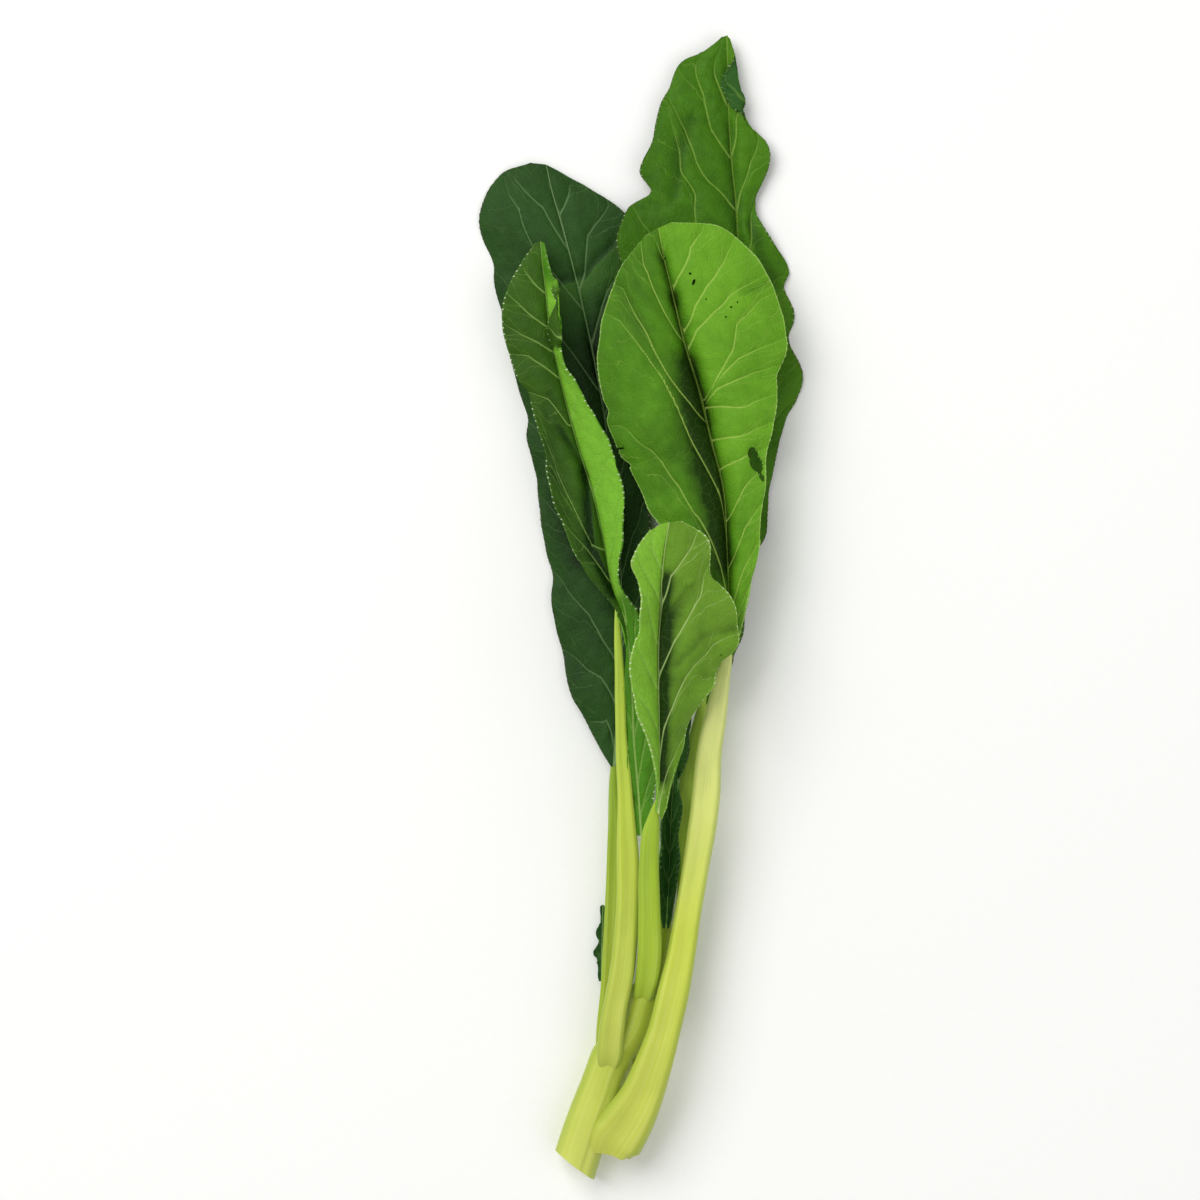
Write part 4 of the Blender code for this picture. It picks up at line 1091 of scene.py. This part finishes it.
def rim_masks(add, look, teeth, rim, breadth, place_on):
    """The thin line along the margin, and the white water pore at most of its teeth."""
    broad = add("MapRange", {0: breadth, 1: 1.5, 2: 4.0})
    line = add("MapRange", {0: rim, 1: 0.40, 2: 0.12, 4: look["rim"][1]}, interpolation_type="SMOOTHSTEP")
    line = add("Math", {0: line, 1: broad}, operation="MULTIPLY")
    tip = add("Math", {0: teeth}, operation="FRACT")
    tip = add("Math", {0: tip, 1: TOOTH_RISE}, operation="SUBTRACT")
    tip = add("Math", {0: tip}, operation="ABSOLUTE")
    tip = add("MapRange", {0: tip, 1: 0.13, 2: 0.06})
    pore = add("MapRange", {0: rim, 1: 0.36, 2: 0.24})
    some = add("TexNoise", {"Vector": place_on, "Scale": 1 / 4.5})
    some = add("MapRange", {0: some, 1: 0.42, 2: 0.52, 4: look["dots"]})
    for share in (tip, broad, some):
        pore = add("Math", {0: pore, 1: share}, operation="MULTIPLY")
    return line, pore


def leaf_skin(name, look):
    """Leaf skin of a mustard green: a waxy, softly glossy upper side and a paler, matt underside. Pale
    veins branch towards the margin, and a fine net of them fills what is between."""
    material, add, shader = new_material(name)
    marks = []
    for mark in ("spot", "vein", "edge", "tone"):
        vector = add("Attribute", {}, 1, attribute_name=mark)
        marks += add("SeparateXYZ", {0: vector}).node.outputs
    down, across, turned, veins, spacing, q, teeth, rim, rib, tone, along, breadth = marks
    place_on = add("CombineXYZ", {0: down, 1: across})
    side_veins = side_vein_mask(add, veins, spacing, q, along, breadth)
    forks = fork_mask(add, veins, spacing, q, place_on)
    net = net_mask(add, place_on)
    colour = leaf_green(add, look, tone, turned, place_on)

    # Veins over the green, stronger on the upper side, and the midrib
    pale, strongest, last_midrib = look["vein"]
    open_half = add("MapRange", {0: breadth, 1: 1.0, 2: 3.0})
    quiet = add("MapRange", {0: turned, 3: 1.0, 4: 0.45})
    for mask, strength in ((net, NET_STRENGTH), (forks, FORK_STRENGTH * strongest), (side_veins, strongest)):
        for share in (strength, quiet, open_half):
            mask = add("Math", {0: mask, 1: share}, operation="MULTIPLY")
        colour = add("Mix", {0: mask, 6: colour, 7: linear(pale)}, 2, data_type="RGBA")
    midrib = add("MapRange", {0: rib, 1: 1.15, 2: 0.75}, interpolation_type="SMOOTHSTEP")
    upwards = add("MapRange", {0: along, 1: 0.25, 2: 0.55, 3: 1.0, 4: last_midrib})
    midrib = add("Math", {0: midrib, 1: upwards}, operation="MULTIPLY")
    line, pore = rim_masks(add, look, teeth, rim, breadth, place_on)
    for mask, shade in ((midrib, pale), (line, look["rim"][0]), (pore, PORE_WHITE)):
        colour = add("Mix", {0: mask, 6: colour, 7: linear(shade)}, 2, data_type="RGBA")

    # Fine relief: the net and the forks sunk a little, and the skin's grain
    grain = add("TexNoise", {"Vector": place_on, "Scale": 1 / 0.6, "Detail": 3.0})
    height = add("Math", {0: net, 1: -0.5, 2: grain}, operation="MULTIPLY_ADD")
    height = add("Math", {0: forks, 1: -0.6, 2: height}, operation="MULTIPLY_ADD")
    bump = add("Bump", {"Height": height, "Strength": 0.50, "Distance": 0.0004})
    gloss = add("MapRange", {0: turned, 3: look["rough"], 4: UNDERSIDE_ROUGH})
    feed(shader, {"Base Color": colour, "Roughness": gloss, "Normal": bump})
    feed(shader, {"IOR": 1.42, "Specular IOR Level": 0.15})
    return material


def stalk_skin(name, colours):
    """Skin of a fleshy stalk: moist, smooth and pale, with soft fibres along it and greener flanks, darker
    partly by painted shade.
    """
    material, add, shader = new_material(name)
    spot = add("Attribute", {}, 1, attribute_name="spot")
    share = add("SeparateXYZ", {0: add("Attribute", {}, 1, attribute_name="share")})
    colour = linear(colours[0])
    for start, end, shade in ((0.0, 0.35, colours[1]), (0.35, 0.68, colours[2]), (0.77, 0.9, colours[3])):
        step = add("MapRange", {0: share, 1: start, 2: end})
        colour = add("Mix", {0: step, 6: colour, 7: linear(shade)}, 2, data_type="RGBA")

    # Greener flanks, partly their own green and partly painted shade where the sides turn from the light, and
    # fibres that are narrow round the stalk and long down it
    flank_green_and_shade = add("Math", {0: share.node.outputs[1]}, operation="ABSOLUTE")
    flank_green_and_shade = add("MapRange", {0: flank_green_and_shade, 1: 0.30, 2: 0.5, 4: 0.45}, interpolation_type="SMOOTHSTEP")
    drawn = add("VectorMath", {0: spot, 1: (1 / 60.0, 22.0, 22.0)}, operation="MULTIPLY")
    fibre = add("TexNoise", {"Vector": drawn, "Scale": 1.0, "Detail": 3.0, "Roughness": 0.6})
    green_fibre = add("MapRange", {0: fibre, 1: 0.50, 2: 0.75, 4: 0.16})
    pale_fibre = add("MapRange", {0: fibre, 1: 0.50, 2: 0.30, 4: 0.20})
    cloud = add("VectorMath", {0: spot, 1: (1 / 14.0, 1.6, 1.6)}, operation="MULTIPLY")
    cloud = add("TexNoise", {"Vector": cloud, "Scale": 1.0, "Detail": 3.0})
    cloud = add("MapRange", {0: cloud, 1: 0.35, 2: 0.75, 4: 0.20})
    for mask in (flank_green_and_shade, green_fibre, pale_fibre, cloud):
        shade = FIBRE_PALE if mask is pale_fibre else FIBRE_AND_FLANK_SHADE_GREEN
        colour = add("Mix", {0: mask, 6: colour, 7: linear(shade)}, 2, data_type="RGBA")
    bump = add("Bump", {"Height": fibre, "Strength": 0.25, "Distance": 0.0002})
    feed(shader, {"Base Color": colour, "Normal": bump})
    feed(shader, {"Roughness": 0.38, "IOR": 1.4, "Specular IOR Level": 0.35})
    feed(shader, {"Subsurface Weight": 0.15, "Subsurface Scale": 0.002})
    feed(shader, {"Subsurface Radius": (0.6, 1.0, 0.25)})
    return material


def cut_pith(name):
    """Freshly cut stem: wet pale pith, flecked by the ends of its fibres about 0.6 mm apart."""
    material, add, shader = new_material(name)
    fleck = add("TexVoronoi", {"Vector": add("TexCoord", {}, 3), "Scale": 1 / 0.0006})
    fleck = add("MapRange", {0: fleck, 1: 0.2, 2: 0.7})
    colour = add("Mix", {0: fleck, 6: linear("C9D27A"), 7: linear("DDE3A4")}, 2, data_type="RGBA")
    bump = add("Bump", {"Height": fleck, "Strength": 0.4, "Distance": 0.0002})
    feed(shader, {"Base Color": colour, "Roughness": 0.3, "IOR": 1.36, "Normal": bump})
    return material


def white_card(name):
    """Matt white card under the plant, with the faintest grain, about 1.5 mm wide."""
    material, add, shader = new_material(name)
    grain = add("TexNoise", {"Vector": add("TexCoord", {}, 3), "Scale": 1 / 0.0015, "Detail": 2.0})
    colour = add("Mix", {0: grain, 6: linear("FAFAF8"), 7: linear("FDFDFC")}, 2, data_type="RGBA")
    feed(shader, {"Base Color": colour, "Roughness": 0.9})
    return material


def make_floor():
    """A plain white floor, wide enough to fill the view from any side."""
    size = 3.0
    mesh = bpy.data.meshes.new("white_card")
    corners = [(-size, -size, 0), (size, -size, 0), (size, size, 0), (-size, size, 0)]
    mesh.from_pydata(corners, [], [(0, 1, 2, 3)])
    mesh.materials.append(white_card("matt_white_card"))
    floor = bpy.data.objects.new("white_card", mesh)
    bpy.context.scene.collection.objects.link(floor)


def make_light(name, where, aim, size, power):
    """A soft, white square light at a place, facing a point."""
    lamp = bpy.data.lights.new(name, "AREA")
    lamp.shape = "SQUARE"
    lamp.size = size
    lamp.energy = power
    light = bpy.data.objects.new(name, lamp)
    bpy.context.scene.collection.objects.link(light)
    light.location = where
    light.rotation_euler = Vector(np.array(aim) - np.array(where)).to_track_quat("-Z", "Y").to_euler()


def make_world():
    """Soft, nearly white light from all round."""
    world = bpy.data.worlds.new("studio")
    world.use_nodes = True
    background = world.node_tree.nodes["Background"]
    background.inputs["Color"].default_value = linear("FCFCFA")
    background.inputs["Strength"].default_value = 0.46
    bpy.context.scene.world = world


def make_camera():
    """Straight above the plant, far enough for the photograph's flat look."""
    picture_width = PHOTO_WIDTH * PHOTO_SCALE * MM
    lens_height, middle_height, sensor = 1.4, 0.012, 36.0
    camera = bpy.data.cameras.new("camera")
    camera.sensor_width = sensor
    camera.lens = sensor * (lens_height - middle_height) / picture_width
    holder = bpy.data.objects.new("camera", camera)
    bpy.context.scene.collection.objects.link(holder)
    right, up = PHOTO_WIDTH / 2 - PHOTO_AXIS[0], PHOTO_AXIS[1] - PHOTO_WIDTH / 2
    centre = place((right * PHOTO_SCALE, up * PHOTO_SCALE, 0.0))
    holder.location = (centre[0], centre[1], lens_height)
    bpy.context.scene.camera = holder


make_camera()
make_world()
make_floor()
make_light("window", (-0.9, 0.9, 1.5), (0, 0, 0), 1.5, 29)
make_light("fill", (1.0, -0.6, 1.4), (0, 0, 0), 1.6, 6)
bpy.context.scene.view_settings.view_transform = "Standard"

stem_piece(stalk_skin("stem_skin", STEM_COLOURS), cut_pith("cut_pith"))
for number, letter in enumerate(STALKS):
    stalk_piece(letter, stalk_skin("stalk_skin_" + letter, STALK_COLOURS[letter]), 20 + number)
for number, (letter, leaf) in enumerate(BLADES.items()):
    skin = leaf_skin("leaf_skin_" + letter, LOOKS[letter])
    leaf_piece("blade_" + letter, leaf, VEINS[letter], LOOKS[letter], skin, 100 + 10 * number)
young_skin = leaf_skin("leaf_skin_young", YOUNG_LOOK)
for number, (name, leaf) in enumerate(YOUNG.items()):
    seed = 200 + 10 * number
    leaf_piece(name, leaf, YOUNG_VEINS, YOUNG_LOOK, young_skin, seed, YOUNG_FINENESS)
